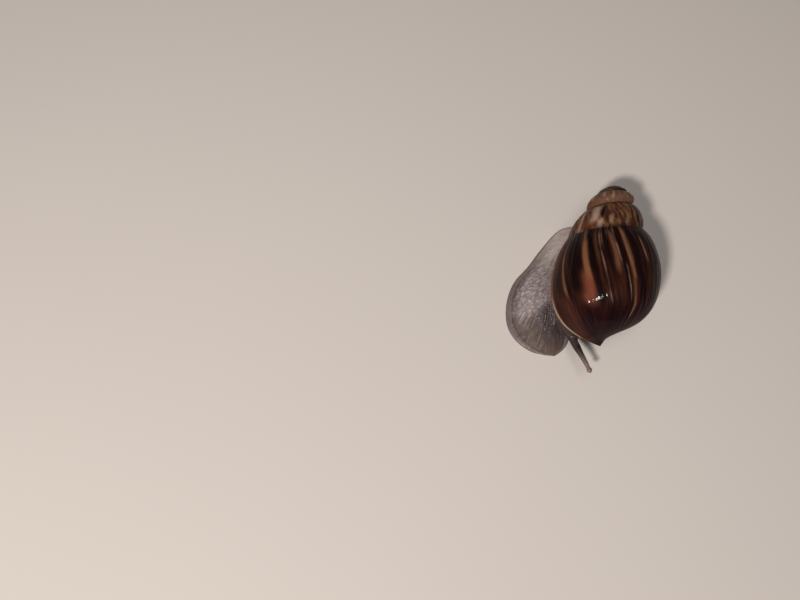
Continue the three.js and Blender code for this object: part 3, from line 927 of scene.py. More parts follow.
class ClosedShapes:
    """Closed shapes that overlap, gathered into one mesh."""

    def __init__(self):
        self.points = []
        self.faces = []
        self.count = 0

    def add_rings(self, rings):
        """A closed shape through rings with the same number of points."""
        rings = np.asarray(rings, float)
        rows, sides = rings.shape[:2]
        index = np.arange(rows * sides).reshape(rows, sides) + self.count
        around = np.concatenate((index, index[:, :1]), axis=1)
        self.faces.extend(grid_faces(around).tolist())
        self.faces.append(index[0].tolist()[::-1])
        self.faces.append(index[-1].tolist())
        self.points.append(rings.reshape(-1, 3))
        self.count += rows * sides

    def add_ball(self, centre, radii, steps=16):
        """A ball, or an egg shape where the three radii differ."""
        lifts = np.linspace(-0.5 * math.pi, 0.5 * math.pi, steps + 1)[1:-1]
        turns = np.linspace(0, 2 * math.pi, 2 * steps, endpoint=False)
        ball = np.stack((
            np.outer(np.cos(lifts), np.cos(turns)),
            np.outer(np.cos(lifts), np.sin(turns)),
            np.outer(np.sin(lifts), np.ones(2 * steps)),
        ), axis=-1)
        self.add_rings(np.asarray(centre) + ball * radii)

    def add_limb(self, stations, radii, steps=40, sides=24):
        """A round limb along a smooth spine."""
        spine = rounded_curve(stations, steps + 1)
        radius = smooth_curve(np.asarray(radii, float)[:, None], steps + 1)[:, 0]
        along = unit_rows(np.gradient(spine, axis=0))
        side = unit_rows(np.cross(along, SIDE_GUIDE))
        top = np.cross(side, along)
        turns = np.linspace(0, 2 * math.pi, sides, endpoint=False)[None, :, None]
        spokes = np.cos(turns) * side[:, None, :] + np.sin(turns) * top[:, None, :]
        self.add_rings(spine[:, None, :] + radius[:, None, None] * spokes)


def rounded_curve(points, count):
    """Points at equal shares along a centripetal Catmull-Rom curve through the given points."""
    u, p0, p1, p2, p3 = curve_spans(points, count)
    spans = ((p0, p1), (p1, p2), (p2, p3))
    d0, d1, d2 = (np.sqrt(np.linalg.norm(b - a, axis=1))[:, None] for a, b in spans)
    slope_1 = ((p1 - p0) / d0 - (p2 - p0) / (d0 + d1) + (p2 - p1) / d1) * d1
    slope_2 = ((p2 - p1) / d1 - (p3 - p1) / (d1 + d2) + (p3 - p2) / d2) * d1
    cubic = 2 * p1 - 2 * p2 + slope_1 + slope_2
    square = 3 * p2 - 3 * p1 - 2 * slope_1 - slope_2
    return p1 + slope_1 * u + square * u ** 2 + cubic * u ** 3


def foot_edges(count):
    """The foot's left and right edge, height and rim width, at equal shares from tail to front."""
    left = rounded_curve(FOOT[:, 0:2], count)
    right = rounded_curve(FOOT[:, 2:4], count)
    height, rim_width = smooth_curve(FOOT[:, 4:6], count).T
    return left, right, height, rim_width


def foot_rings():
    """Cross-sections of the foot from tail to front: a flat sole, a thin rim and a domed back."""
    left, right, height, rim_width = foot_edges(FOOT_ROWS)
    half_width = 0.5 * np.linalg.norm(right - left, axis=1)
    rings = []
    for a, b, half, top, flat in zip(left, right, half_width, height, rim_width):
        rim = min(RIM_THICKNESS, 0.8 * top)
        dome = max(half - flat, 0.5 * half)
        place = -np.cos(np.linspace(0, math.pi, BACK_COLUMNS + 1))
        reach = np.where(place < BACK_PEAK, 1 + BACK_PEAK, 1 - BACK_PEAK)
        lift = np.maximum(0, 1 - ((place - BACK_PEAK) / reach) ** 2) ** BACK_ROUNDNESS
        inner = half - RIM_ROUNDING
        across = np.concatenate(((-half, -half, -inner), place * dome, (inner, half, half)))
        side = np.array((0, 0.3 * rim, 0.7 * rim))
        upward = np.concatenate((side, rim + (top - rim) * lift, side[::-1]))
        share = (across / half + 1) / 2
        ground = a + share[:, None] * (b - a)
        rings.append(np.column_stack((ground, upward)))
    return rings


def mantle_rings():
    """The part of the body that fills the mouth of the shell."""
    share = np.linspace(*MANTLE_SPAN, MANTLE_COLUMNS)
    rings = []
    for turn in np.linspace(MANTLE_START - MOUTH_TURN, MANTLE_END, MANTLE_ROWS):
        radius, depth = line_at(share)
        out_radius, out_depth = line_normal(share)
        radius = radius * radius_scale(turn) - MANTLE_INSET * out_radius
        depth = depth * depth_scale(turn) - MANTLE_INSET * out_depth
        radius = np.concatenate(((MANTLE_CORE,), radius, (MANTLE_CORE,)))
        depth = np.concatenate((depth[:1], depth, depth[-1:]))
        rings.append(shell_points(radius, depth, np.full(len(radius), turn)))
    return rings


def rough_flesh():
    """All parts of the body as overlapping closed shapes."""
    body = ClosedShapes()
    body.add_rings(foot_rings())
    body.add_limb(NECK[:, :3], NECK[:, 3], 60, 40)
    body.add_ball(NECK[0, :3], NECK[0, 3])
    body.add_ball(NECK[-1, :3], NECK[-1, 3])
    body.add_ball(SNOUT, SNOUT_RADIUS)
    for side in (-1, 1):
        body.add_ball(SNOUT + np.array(MOUTH_LOBE) * (side, 1, 1), MOUTH_LOBE_RADII)
    body.add_rings(mantle_rings())
    for feeler in (RIGHT_FEELER, LEFT_FEELER):
        body.add_limb(feeler, FEELER_RADII, 60, 28)
        body.add_ball(feeler[-1], KNOB_RADIUS)
        body.add_ball(feeler[0], FEELER_RADII[0])
    for palp in (RIGHT_PALP, LEFT_PALP):
        body.add_limb(palp, PALP_RADII, 24, 20)
        body.add_ball(palp[-1], PALP_RADII[-1])
    return body


def joined_skin(body, voxel):
    """One closed mesh over overlapping shapes."""
    rough = mesh_object("rough_body", np.concatenate(body.points), body.faces)
    remesh = rough.modifiers.new("join", "REMESH")
    remesh.mode = "VOXEL"
    remesh.voxel_size = voxel
    graph = bpy.context.evaluated_depsgraph_get()
    joined = bpy.data.meshes.new_from_object(rough.evaluated_get(graph))
    bpy.data.objects.remove(rough)
    return joined


def mesh_points(mesh):
    """Points of a mesh, in millimetres."""
    points = np.empty(len(mesh.vertices) * 3, np.float32)
    mesh.vertices.foreach_get("co", points)
    return points.reshape(-1, 3).astype(float) / MILLIMETRE + FOOTPRINT_MIDDLE


def set_mesh_points(mesh, points):
    """Moves a mesh to points in millimetres."""
    mesh.vertices.foreach_set("co", in_frame(points).astype(np.float32).ravel())
    mesh.update()


def mesh_normals(mesh):
    """Outward direction at each point of a mesh."""
    normals = np.empty(len(mesh.vertices) * 3, np.float32)
    mesh.vertex_normals.foreach_get("vector", normals)
    return normals.reshape(-1, 3).astype(float)


class Neighbours:
    """Averages over the points that share an edge."""

    def __init__(self, mesh):
        edges = np.empty(len(mesh.edges) * 2, np.int32)
        mesh.edges.foreach_get("vertices", edges)
        self.first, self.second = edges.reshape(-1, 2).T
        self.size = len(mesh.vertices)
        self.links = np.maximum(self.sum(np.ones(self.size)), 1)

    def sum(self, values):
        """Sum of the values at each point's neighbours."""
        total = np.bincount(self.first, values[self.second], self.size)
        return total + np.bincount(self.second, values[self.first], self.size)

    def average(self, values):
        """Average of the values at each point's neighbours."""
        if values.ndim == 1:
            return self.sum(values) / self.links
        return np.stack([self.sum(column) / self.links for column in values.T], axis=1)

    def smoothed(self, values, rounds, share=0.5):
        """Values moved towards their neighbours' average, round after round."""
        for _ in range(rounds):
            values = values + share * (self.average(values) - values)
        return values


def scattered(cell, seed):
    """Three numbers between 0 and 1 for every cell of a grid in space, always the same ones."""
    mixed = (cell[:, 0] * 73856093) ^ (cell[:, 1] * 19349663) ^ (cell[:, 2] * 83492791) ^ (seed * 2654435761)
    numbers = []
    for k in range(3):
        value = (mixed + k * 374761393) & 0xFFFFFFFF
        value = ((value ^ (value >> 15)) * 2246822519) & 0xFFFFFFFF
        value = ((value ^ (value >> 13)) * 3266489917) & 0xFFFFFFFF
        value = value ^ (value >> 16)
        numbers.append((value & 0xFFFFFF) / 0x1000000)
    return np.stack(numbers, axis=1)


def cell_relief(points, seed, edge=0.42):
    """Rounded cells packed in space: 1 in the middle of a cell and 0 in the grooves."""
    home = np.floor(points).astype(np.int64)
    nearest = np.full(len(points), 9.0)
    second = np.full(len(points), 9.0)
    for step in np.ndindex(3, 3, 3):
        cell = home + np.array(step) - 1
        distance = np.linalg.norm(cell + scattered(cell, seed) - points, axis=1)
        second = np.minimum(second, np.maximum(nearest, distance))
        nearest = np.minimum(nearest, distance)
    return smooth_step(0.0, edge, second - nearest)


def foot_place(points):
    """Share along the foot from tail to front, distances to its two edges, and rim width."""
    left, right, _, rim_width = foot_edges(FOOT_SAMPLES)
    across = right - left
    width = np.linalg.norm(across, axis=1)
    normal = np.stack((across[:, 1], -across[:, 0]), axis=1) / width[:, None]
    ahead = (points[:, :2] @ normal.T) - (left * normal).sum(axis=1)
    share_across = points[:, :2] @ (across / (width ** 2)[:, None]).T
    share_across = share_across - (left * across).sum(axis=1) / width ** 2
    near = np.abs(ahead) + 6.0 * np.maximum(0, np.abs(share_across - 0.5) - 0.6)
    row = np.argmin(near, axis=1)
    pick = np.arange(len(points))
    part = share_across[pick, row]
    return row / (FOOT_SAMPLES - 1), part * width[row], (1 - part) * width[row], rim_width[row]


def spine_distance(points, stations, radii, count=60):
    """Distance of each point from the surface of a round limb, and the share along it."""
    spine = rounded_curve(stations, count)
    radius = smooth_curve(np.asarray(radii, float)[:, None], count)[:, 0]
    best = np.full(len(points), 1e9)
    share = np.zeros(len(points))
    for k in range(count):
        distance = np.linalg.norm(points - spine[k], axis=1) - radius[k]
        closer = distance < best
        best = np.where(closer, distance, best)
        share = np.where(closer, k / (count - 1), share)
    return best, share


def lip_distance(points):
    """Distance of each point from the edge of the shell's lip."""
    share = np.linspace(0.1, 0.97, 60)
    lip = shell_surface(np.zeros(len(share)), share, SHELL_INSET)
    best = np.full(len(points), 1e9)
    for edge_point in lip:
        best = np.minimum(best, np.linalg.norm(points - edge_point, axis=1))
    return best


def feeler_regions(points):
    """The feelers, their lighter ends and their knobs."""
    feeler = np.zeros(len(points))
    knob = np.zeros(len(points))
    tipward = np.zeros(len(points))
    for stations in (RIGHT_FEELER, LEFT_FEELER):
        gap, share = spine_distance(points, stations, FEELER_RADII)
        on_feeler = 1 - smooth_step(0.25, 0.7, gap)
        tipward = np.maximum(tipward, on_feeler * smooth_step(0.30, 1.0, share))
        feeler = np.maximum(feeler, on_feeler * smooth_step(0.10, 0.35, share))
        knob = np.maximum(knob, on_feeler * smooth_step(0.90, 0.99, share))
    for stations in (RIGHT_PALP, LEFT_PALP):
        gap, share = spine_distance(points, stations, PALP_RADII, 24)
        on_palp = 1 - smooth_step(0.2, 0.5, gap)
        feeler = np.maximum(feeler, on_palp * smooth_step(0.3, 0.6, share))
    return feeler, tipward, knob


def head_region(points):
    """The front of the neck, the head and the snout."""
    neck_gap, neck_share = spine_distance(points, NECK[:, :3], NECK[:, 3])
    head = (1 - smooth_step(0.3, 1.2, neck_gap)) * smooth_step(0.62, 0.72, neck_share)
    snout_gap = np.linalg.norm(points - SNOUT, axis=1) - SNOUT_RADIUS
    return np.maximum(head, 1 - smooth_step(0.4, 1.2, snout_gap))


def flesh_regions(points):
    """Strength of every region of the body at each point, by name."""
    x, y, z = points.T
    along, from_left, from_right, rim_width = foot_place(points)
    feeler, tipward, knob = feeler_regions(points)
    head = head_region(points) * (1 - feeler)
    low = 1 - smooth_step(0.9, 1.5, z)
    edge_gap = np.minimum(from_left, from_right) - rim_width
    edge = low * (1 - smooth_step(-0.25, 0.05, edge_gap)) * (1 - feeler)
    from_lip = lip_distance(points)
    # The dark neck near the lip is partly the skin's own colour and partly painted shade from the shell,
    # reaching further from the lip towards the front.
    reach = 1.0 + 9.0 * smooth_step(-4.0, -14.0, y)
    collar_and_lip_shade = (1 - smooth_step(0.40, 1.50, from_lip / reach)) * smooth_step(-3.0, -8.5, y)
    neck = np.maximum(collar_and_lip_shade, head) * (1 - edge) * (1 - feeler)
    lobe = bump_at(x, -8.5, 6.0) * smooth_step(-17.8, -20.4, y) * (1 - head)
    # Painted shade: a darker band along the left side of the back, and darker skin under the shell's lip
    # that fades out 1 to 9 mm from it.
    flank_shade = (1 - smooth_step(1.6, 4.6, from_left)) * bump_at(along, 0.46, 0.24)
    shade_under_lip = 0.85 * (1 - smooth_step(1.0, 9.0, from_lip)) * smooth_step(0.22, 0.42, along)
    wet_neck = 0.9 * neck * smooth_step(-11.5, -15.0, y)
    wet_front = 0.5 * smooth_step(0.80, 0.94, along)
    return {
        "along": along,
        "edge_gap": edge_gap,
        "tail": 1 - smooth_step(0.15, 0.44, along),
        "flank_shade": np.maximum(flank_shade, shade_under_lip),
        "front": smooth_step(0.56, 0.74, along) * (1 - edge),
        "neck": neck,
        "lobe": lobe * (1 - edge),
        "feeler": feeler,
        "knob": knob,
        "tipward": tipward,
        "edge": edge,
        "wet": np.maximum(wet_neck, wet_front),
        "sole": 1 - smooth_step(0.02, 0.12, z),
    }


# Cells of the skin in millimetres. The long folds of the front fan out from one point on the
# back. The folds of the back lean, and their cells are given along them, across them and upward.
FAN_MIDDLE = np.array((-13.0, 9.0))
FAN_REACH = 21.0
FRONT_CELL = (1.15, 6.5, 12.0)
BACK_CELL = (2.7, 1.15, 1.9)
BACK_LEAN = math.radians(36)
SMALL_CELL = 0.75
TINY_CELL = 0.36

# How strong each kind of fold and granule is.
FRONT_FOLDS = 1.35
BACK_FOLDS = 0.62
SMALL_FOLDS = 0.18
NECK_FOLDS = 0.8
SMALL_GRANULES = 0.40
TINY_GRANULES = 0.25

# Depth of the folds, granules and the groove above the sole's edge, in millimetres.
FOLD_DEPTH = 0.40
GRANULE_DEPTH = 0.28
FEELER_GRAIN = 0.06
EDGE_GRAIN = 0.02
GROOVE_DEPTH = 0.16


def front_folds(points):
    """Long folds that fan out over the front of the foot, 0 on a fold's ridge and 1 between."""
    away = points[:, :2] - FAN_MIDDLE
    reach = np.linalg.norm(away, axis=1)
    swing = np.arctan2(away[:, 0], -away[:, 1]) * FAN_REACH
    place = np.stack((swing, reach, points[:, 2]), axis=1)
    return 1 - cell_relief(place / np.array(FRONT_CELL), 21, 0.7)


def back_folds(points):
    """Short leaning folds of the back, 0 on a fold's ridge and 1 between."""
    along = points[:, 0] * math.cos(BACK_LEAN) + points[:, 1] * math.sin(BACK_LEAN)
    across = -points[:, 0] * math.sin(BACK_LEAN) + points[:, 1] * math.cos(BACK_LEAN)
    place = np.stack((along, across, points[:, 2]), axis=1)
    return 1 - cell_relief(place / np.array(BACK_CELL), 22, 0.5)


def edge_groove(points, region):
    """The groove that runs round the foot just above the flat edge of the sole."""
    height = points[:, 2]
    groove = bump_at(region["edge_gap"], 0.1, 0.30) * (1 - smooth_step(2.0, 3.5, height))
    groove = groove * (1 - region["feeler"]) * smooth_step(0.3, 0.8, height)
    return groove * smooth_step(0.28, 0.5, region["along"])


def skin_relief(points, region):
    """Depth of the folds and grooves, and how deep in a fold each point lies, which sets the painted shade
    in the folds.
    """
    long_folds = front_folds(points)
    short_folds = back_folds(points)
    small = 1 - cell_relief(points / SMALL_CELL, 23)
    tiny = 1 - cell_relief(points / TINY_CELL, 24)
    front, neck, feeler, edge = (region[name] for name in ("front", "neck", "feeler", "edge"))
    trunk = (1 - feeler) * (1 - edge) * (1 - region["sole"])
    rough = (1 - neck) * (1 - 0.9 * region["lobe"])
    back = np.clip(1 - front - 0.9 * region["tail"], 0, 1)
    folds = FRONT_FOLDS * front * long_folds + BACK_FOLDS * back * short_folds + SMALL_FOLDS * small
    folds = rough * folds + NECK_FOLDS * neck * long_folds
    granules = neck * (SMALL_GRANULES * small + TINY_GRANULES * tiny)
    depth = trunk * (FOLD_DEPTH * folds + GRANULE_DEPTH * granules)
    depth += FEELER_GRAIN * feeler * (1 - region["knob"]) * tiny
    depth += EDGE_GRAIN * edge * tiny
    groove = edge_groove(points, region)
    depth += GROOVE_DEPTH * groove * (1 - region["lobe"])
    # Painted shade: the deeper a point lies in a fold, a granule's groove or the groove above the sole, the
    # darker the skin is painted.
    fold_shade = np.clip(trunk * np.maximum(folds, granules) + 0.35 * groove, 0, 1)
    return depth, fold_shade


# Attributes of the skin that its material reads, besides the depth in the folds that sets their painted
# shade.
SKIN_REGIONS = (
    "tail", "front", "flank_shade", "neck", "lobe", "feeler", "tipward", "knob", "edge", "wet", "sole",
)
SMOOTH_ROUNDS = 8
SOLE_HEIGHT = 0.16


def build_skin(settings):
    """One skin over all the flesh, laid flat on the floor and folded."""
    mesh = joined_skin(rough_flesh(), settings.voxel)
    mesh.name = "skin"
    near = Neighbours(mesh)
    points = mesh_points(mesh)
    points = near.smoothed(points, SMOOTH_ROUNDS)
    points[:, 2] = np.where(points[:, 2] < SOLE_HEIGHT, 0.0, points[:, 2])
    set_mesh_points(mesh, points)
    region = flesh_regions(points)
    depth, fold_shade = skin_relief(points, region)
    points = points - settings.relief * depth[:, None] * mesh_normals(mesh)
    points[:, 2] = np.maximum(points[:, 2], 0.0)
    set_mesh_points(mesh, points)
    piece = bpy.data.objects.new("skin", mesh)
    bpy.context.scene.collection.objects.link(piece)
    mesh.polygons.foreach_set("use_smooth", [True] * len(mesh.polygons))
    mesh.materials.clear()
    for name in SKIN_REGIONS:
        point_attribute(piece, name, near.smoothed(region[name], 2))
    point_attribute(piece, "fold_shade", fold_shade)
    mesh.materials.append(skin_finish(settings))
    return piece


def skin_finish(settings):
    """Moist skin, pale on the tail and dark on the neck, with painted shade in the folds, along the left
    side of the back, under the lip and at the roots of the feelers.
    """
    finish = Finish("moist_skin")
    spot = finish.place()
    blotch = finish.noise(spot, 420.0, 4.0)
    grain = finish.noise(spot, 3200.0, 3.0, 0.6)
    pore = finish.cells(spot, 3600.0)

    colour = finish.painted(solid(settings.back), "tail", settings.pale)
    colour = finish.painted(colour, "front", settings.front)
    # Painted shade along the left side of the back and under the lip.
    colour = finish.painted(colour, "flank_shade", settings.flank_shade, 0.8)
    colour = finish.painted(colour, "lobe", settings.lobe)
    # The neck's own dark colour, with painted shade beside the shell's lip.
    colour = finish.painted(colour, "neck", settings.neck)
    # Painted shadow: the feeler colour is near black for the feelers' roots in the shell's shadow; the lower
    # feelers take the same colour, and the upper feelers' ends are lighter.
    colour = finish.painted(colour, "feeler", settings.feeler)
    colour = finish.painted(colour, "tipward", settings.knob)
    # Painted shade in the folds and grooves, stronger where the blotches are darker.
    fold = finish.math("MULTIPLY", finish.attribute("fold_shade"), finish.remap(blotch, 0.3, 0.6, 0.55, 0.9))
    fold_shaded = finish.mix(0.80, colour, solid(settings.fold_shade))
    colour = finish.mix(fold, colour, fold_shaded)
    colour = finish.painted(colour, "edge", settings.edge)
    darker = finish.mix(0.35, colour, solid(settings.fold_shade))
    shaded = finish.mix(finish.remap(blotch, 0.42, 0.66, 0.0, 0.55), colour, darker)
    shaded = finish.mix(finish.remap(grain, 0.45, 0.7, 0.0, 0.5), shaded, darker)
    colour = finish.painted(shaded, "sole", settings.sole)

    rough = finish.math("SUBTRACT", finish.remap(grain, 0.3, 0.7, 0.50, 0.62),
                        finish.math("MULTIPLY", finish.attribute("wet"), 0.24))
    coarse = finish.bump(grain, 0.00005, 0.6)
    relief = finish.bump(pore, 0.00003, 0.5, coarse)
    finish.set(Base_Color=colour, Roughness=rough, Normal=relief)
    finish.set(Coat_Weight=0.10, Coat_Roughness=0.15, Specular_IOR_Level=0.4)
    finish.set(Subsurface_Weight=0.10, Subsurface_Radius=(1.0, 0.45, 0.3), Subsurface_Scale=0.0006)
    return finish.material


# ------------------------------------------------------------------ eyes

EYE_BLOOM = (0.020, 0.010, 0.008)
EYE_FLATTENING = 0.12


def build_eye(side, feeler, settings):
    """A round eye, a little flattened towards the feeler behind it."""
    ahead = feeler[-1] - feeler[-2]
    ahead = ahead / np.linalg.norm(ahead)
    middle = feeler[-1] + EYE_LEAD * KNOB_RADIUS * ahead
    shape = ClosedShapes()
    shape.add_ball((0, 0, 0), settings.radius / MILLIMETRE, 24)
    points = np.concatenate(shape.points)
    points = points - EYE_FLATTENING * (points @ ahead)[:, None] * ahead
    piece = mesh_object(f"eyeball_{side}", points + middle, shape.faces)
    turn_faces_out(piece.data)
    return piece


def eye_finish(settings):
    """Wet black glass with a faint brown bloom."""
    finish = Finish("wet_eye")
    bloom = finish.noise(finish.place(), 5000.0, 2.0)
    bloomed = finish.remap(bloom, 0.4, 0.7, 0.0, 0.6)
    colour = finish.mix(bloomed, solid(settings.colour), solid(EYE_BLOOM))
    finish.set(Base_Color=colour, Roughness=finish.remap(bloom, 0.3, 0.7, 0.06, 0.16))
    finish.set(Coat_Weight=0.8, Coat_Roughness=0.03)
    return finish.material


# ------------------------------------------------------------------ stage

CAMERA_PLACE = (-0.064887, -0.063751, 0.220773)
CAMERA_TILT = math.radians(15)
CAMERA_LENS = 27.45
FLOOR_SIZE = 1.6
FLOOR_STEPS = 48
FLOOR_DIP = 12.0

LIGHT_AIM = (0, 0, 0.01)
KEY_PLACE = (-0.32, -0.34, 0.56)
KEY_SIZE = 0.08
KEY_POWER = 3.8
KEY_COLOUR = (1.0, 0.97, 0.93)
TOP_PLACE = (-0.04, -0.08, 0.72)
TOP_SIZE = 0.35
TOP_POWER = 1.5
TOP_COLOUR = (0.98, 0.99, 1.0)
ROOM_COLOUR = (0.95, 0.97, 1.0)


def build_floor(settings):
    """A floor that is flat under the snail and dips away at its far rim."""
    line = np.linspace(-0.5, 0.5, FLOOR_STEPS + 1) * FLOOR_SIZE / MILLIMETRE
    x, y = np.meshgrid(line, line, indexing="ij")
    reach = np.hypot(x, y) / (0.5 * FLOOR_SIZE / MILLIMETRE)
    z = -FLOOR_DIP * smooth_step(0.75, 1.3, reach)
    points = np.stack((x, y, z), axis=-1).reshape(-1, 3)
    index = np.arange(len(points)).reshape(FLOOR_STEPS + 1, FLOOR_STEPS + 1)
    floor = mesh_object("pale_floor", points, grid_faces(index))
    finish = Finish("pale_floor")
    cloud = finish.noise(finish.place(), 9.0, 2.0)
    darker = tuple(0.97 * value for value in settings.floor)
    finish.set(Base_Color=finish.mix(cloud, solid(darker), solid(settings.floor)), Roughness=0.8)
    floor.data.materials.append(finish.material)


def add_light(name, place, size, power, colour, glints=True):
    """A round soft lamp that shines on the snail, with or without glints in its gloss."""
    lamp = bpy.data.lights.new(name, "AREA")
    lamp.shape = "DISK"
    lamp.size = size
    lamp.energy = power
    lamp.color = colour
    light = bpy.data.objects.new(name, lamp)
    light.location = place
    light.visible_glossy = glints
    light.rotation_euler = (Vector(LIGHT_AIM) - Vector(place)).to_track_quat("-Z", "Y").to_euler()
    bpy.context.scene.collection.objects.link(light)


def build_lights(settings):
    """A small warm lamp to the front left, a broad soft one overhead, and a pale room."""
    add_light("key", KEY_PLACE, KEY_SIZE, KEY_POWER * settings.key, KEY_COLOUR)
    add_light("overhead", TOP_PLACE, TOP_SIZE, TOP_POWER * settings.key, TOP_COLOUR, False)
    world = bpy.data.worlds.new("pale_room")
    world.use_nodes = True
    background = world.node_tree.nodes["Background"]
    background.inputs["Color"].default_value = solid(ROOM_COLOUR)
    background.inputs["Strength"].default_value = settings.fill
    bpy.context.scene.world = world


def build_camera(scene):
    """A wide lens near the snail, looking down with a tilt."""
    lens = bpy.data.cameras.new("camera")
    lens.lens = CAMERA_LENS
    lens.sensor_width = 36.0
    lens.clip_start = 0.005
    lens.clip_end = 20.0
    camera = bpy.data.objects.new("camera", lens)
    camera.location = CAMERA_PLACE
    camera.rotation_euler = (CAMERA_TILT, 0, 0)
    scene.collection.objects.link(camera)
    scene.camera = camera
    scene.view_settings.view_transform = "Standard"


# ------------------------------------------------------------------ settings

def colour_setting(name, description, default):
    """A colour that the panel shows."""
    return bpy.props.FloatVectorProperty(
        name=name, description=description, default=default, subtype="COLOR", size=3, min=0.0, max=1.0)


class ShellSettings(bpy.types.PropertyGroup):
    dark: colour_setting("Dark", "Darkest streaks of the last whorl", (0.0060, 0.0019, 0.0020))
    brown: colour_setting("Brown", "Main colour of the last whorl", (0.026, 0.0072, 0.0052))
    chestnut: colour_setting("Chestnut", "Warmer streaks", (0.074, 0.021, 0.010))
    maroon: colour_setting("Maroon", "Purplish clouds low on the whorl", (0.0125, 0.0026, 0.0042))
    black: colour_setting("Black", "Bands between the flames", (0.0050, 0.0018, 0.0020))
    tan: colour_setting("Tan", "Flames", (0.215, 0.090, 0.042))
    rust: colour_setting("Rust", "Red patches below the flames", (0.165, 0.046, 0.024))
    pale: colour_setting("Pale", "Thin worn growth lines", (0.270, 0.175, 0.125))
    ochre: colour_setting("Ochre", "Ground colour of the spire", (0.215, 0.100, 0.038))
    plum: colour_setting("Plum", "Mottling of the spire", (0.070, 0.024, 0.019))
    orange: colour_setting("Orange", "Warm patches of the spire", (0.098, 0.028, 0.010))
    cream: colour_setting("Cream", "Pale patches of the spire", (0.380, 0.245, 0.185))
    peach: colour_setting("Peach", "The oldest whorls", (0.130, 0.064, 0.034))
    gold: colour_setting("Gold", "Band behind the lip", (0.200, 0.090, 0.034))
    lip: colour_setting("Lip", "Thin edge of the lip", (0.430, 0.290, 0.190))
    inside: colour_setting("Inside", "Inside of the mouth", (0.160, 0.130, 0.150))


class SkinSettings(bpy.types.PropertyGroup):
    voxel: bpy.props.FloatProperty(
        name="Grain", description="Size of the skin's mesh", default=0.00018, min=0.0001,
        subtype="DISTANCE", unit="LENGTH")
    relief: bpy.props.FloatProperty(
        name="Relief", description="Strength of the bumps and folds", default=1.0, min=0.0, max=2.0)
    pale: colour_setting("Pale", "Tip of the tail", (0.690, 0.560, 0.505))
    back: colour_setting("Back", "Grey of the back", (0.450, 0.368, 0.360))
    # Colour of the painted shade along the left side of the back and under the lip.
    flank_shade: colour_setting("Flank", "Darker side of the back", (0.150, 0.108, 0.105))
    front: colour_setting("Front", "Brown-grey of the front", (0.235, 0.168, 0.144))
    lobe: colour_setting("Lobe", "Smooth front edge of the foot", (0.098, 0.050, 0.040))
    # Dark skin of the neck, made darker as painted shade beside the lip.
    neck: colour_setting("Neck", "Dark neck beside the lip", (0.038, 0.019, 0.020))
    # Near black: the feelers' own dark colour with painted shadow at their roots.
    feeler: colour_setting("Feeler", "Roots of the feelers", (0.010, 0.006, 0.006))
    knob: colour_setting("Knob", "Ends of the feelers", (0.215, 0.135, 0.115))
    # Colour of the painted shade in the folds, also used to darken the blotches.
    fold_shade: colour_setting("Crease", "Colour in the folds", (0.046, 0.030, 0.027))
    edge: colour_setting("Edge", "Flat edge of the sole", (0.165, 0.117, 0.110))
    sole: colour_setting("Sole", "Underside", (0.420, 0.330, 0.280))


class EyeSettings(bpy.types.PropertyGroup):
    radius: bpy.props.FloatProperty(
        name="Radius", description="Radius of an eye", default=0.00042, min=0.0002,
        subtype="DISTANCE", unit="LENGTH")
    colour: colour_setting("Colour", "Colour of the eyes", (0.006, 0.005, 0.005))


class StageSettings(bpy.types.PropertyGroup):
    floor: colour_setting("Floor", "Colour of the floor", (0.62, 0.55, 0.50))
    key: bpy.props.FloatProperty(
        name="Lamps", description="Strength of the two lamps", default=1.0, min=0.0)
    fill: bpy.props.FloatProperty(
        name="Room", description="Light from the room", default=0.10, min=0.0)


# ------------------------------------------------------------------ operators

class BuildOperator:
    """What the operators that build a piece have in common."""

    bl_options = {"REGISTER", "UNDO"}

    def execute(self, context):
        self.build(context)
        return {"FINISHED"}


class SNAIL_OT_stage(BuildOperator, bpy.types.Operator):
    """Lay the pale floor and set the camera and the soft lights"""

    bl_idname = "snail.stage"
    bl_label = "Stage"

    def build(self, context):
        settings = context.scene.snail_stage
        build_floor(settings)
        build_lights(settings)
        build_camera(context.scene)


class SNAIL_OT_shell(BuildOperator, bpy.types.Operator):
    """Grow the spiral shell"""

    bl_idname = "snail.shell"
    bl_label = "Shell"

    def build(self, context):
        piece = build_shell(context.scene.snail_shell)
        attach(piece, "root")
        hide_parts("shell")


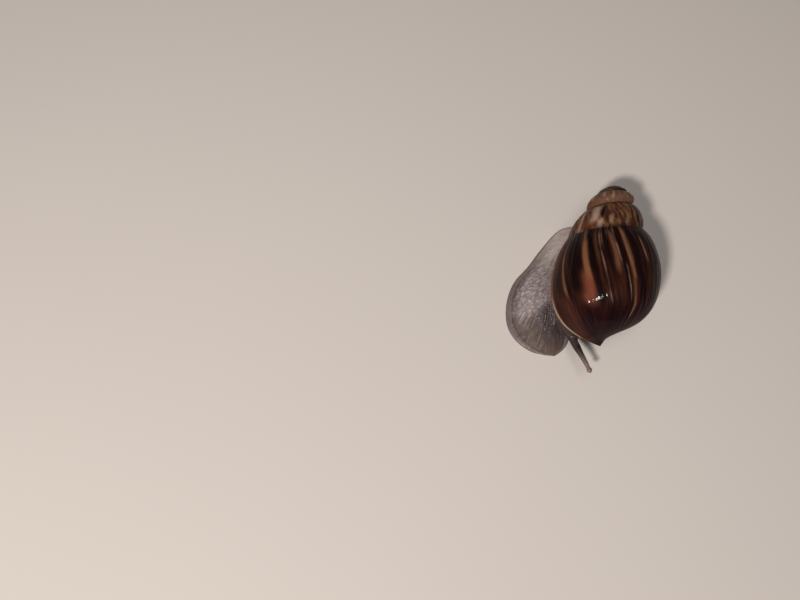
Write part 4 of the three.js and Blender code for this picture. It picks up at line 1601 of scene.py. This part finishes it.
class SNAIL_OT_skin(BuildOperator, bpy.types.Operator):
    """Make one skin over the foot, the neck, the head and the feelers"""

    bl_idname = "snail.skin"
    bl_label = "Skin"

    def build(self, context):
        piece = build_skin(context.scene.snail_skin)
        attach(piece, "root")
        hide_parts(*FLESH_NODES)


class SNAIL_OT_eyes(BuildOperator, bpy.types.Operator):
    """Set a dark eye in the end of each upper feeler"""

    bl_idname = "snail.eyes"
    bl_label = "Eyes"

    def build(self, context):
        settings = context.scene.snail_eyes
        finish = eye_finish(settings)
        for side, feeler in (("right", RIGHT_FEELER), ("left", LEFT_FEELER)):
            piece = build_eye(side, feeler, settings)
            piece.data.materials.append(finish)
            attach(piece, "root")
            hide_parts(f"eye_{side}")


class SNAIL_PT_panel(bpy.types.Panel):
    """Lists the snail's pieces and their settings"""

    bl_idname = "SNAIL_PT_panel"
    bl_label = "Snail"
    bl_space_type = "VIEW_3D"
    bl_region_type = "UI"
    bl_category = "Snail"

    def draw(self, context):
        for operator, group in PANEL_ROWS:
            box = self.layout.box()
            box.operator(operator)
            settings = getattr(context.scene, group)
            for name in settings.__annotations__:
                box.prop(settings, name)


PANEL_ROWS = (
    ("snail.stage", "snail_stage"),
    ("snail.shell", "snail_shell"),
    ("snail.skin", "snail_skin"),
    ("snail.eyes", "snail_eyes"),
)
SETTING_GROUPS = {
    "snail_stage": StageSettings,
    "snail_shell": ShellSettings,
    "snail_skin": SkinSettings,
    "snail_eyes": EyeSettings,
}
CLASSES = (
    StageSettings, ShellSettings, SkinSettings, EyeSettings,
    SNAIL_OT_stage, SNAIL_OT_shell, SNAIL_OT_skin, SNAIL_OT_eyes, SNAIL_PT_panel,
)


def register():
    for one in CLASSES:
        bpy.utils.register_class(one)
    for name, group in SETTING_GROUPS.items():
        setattr(bpy.types.Scene, name, bpy.props.PointerProperty(type=group))


def unregister():
    for name in SETTING_GROUPS:
        delattr(bpy.types.Scene, name)
    for one in reversed(CLASSES):
        bpy.utils.unregister_class(one)


def main():
    register()
    bpy.ops.snail.stage()
    bpy.ops.snail.shell()
    bpy.ops.snail.skin()
    bpy.ops.snail.eyes()


if __name__ == "__main__":
    main()
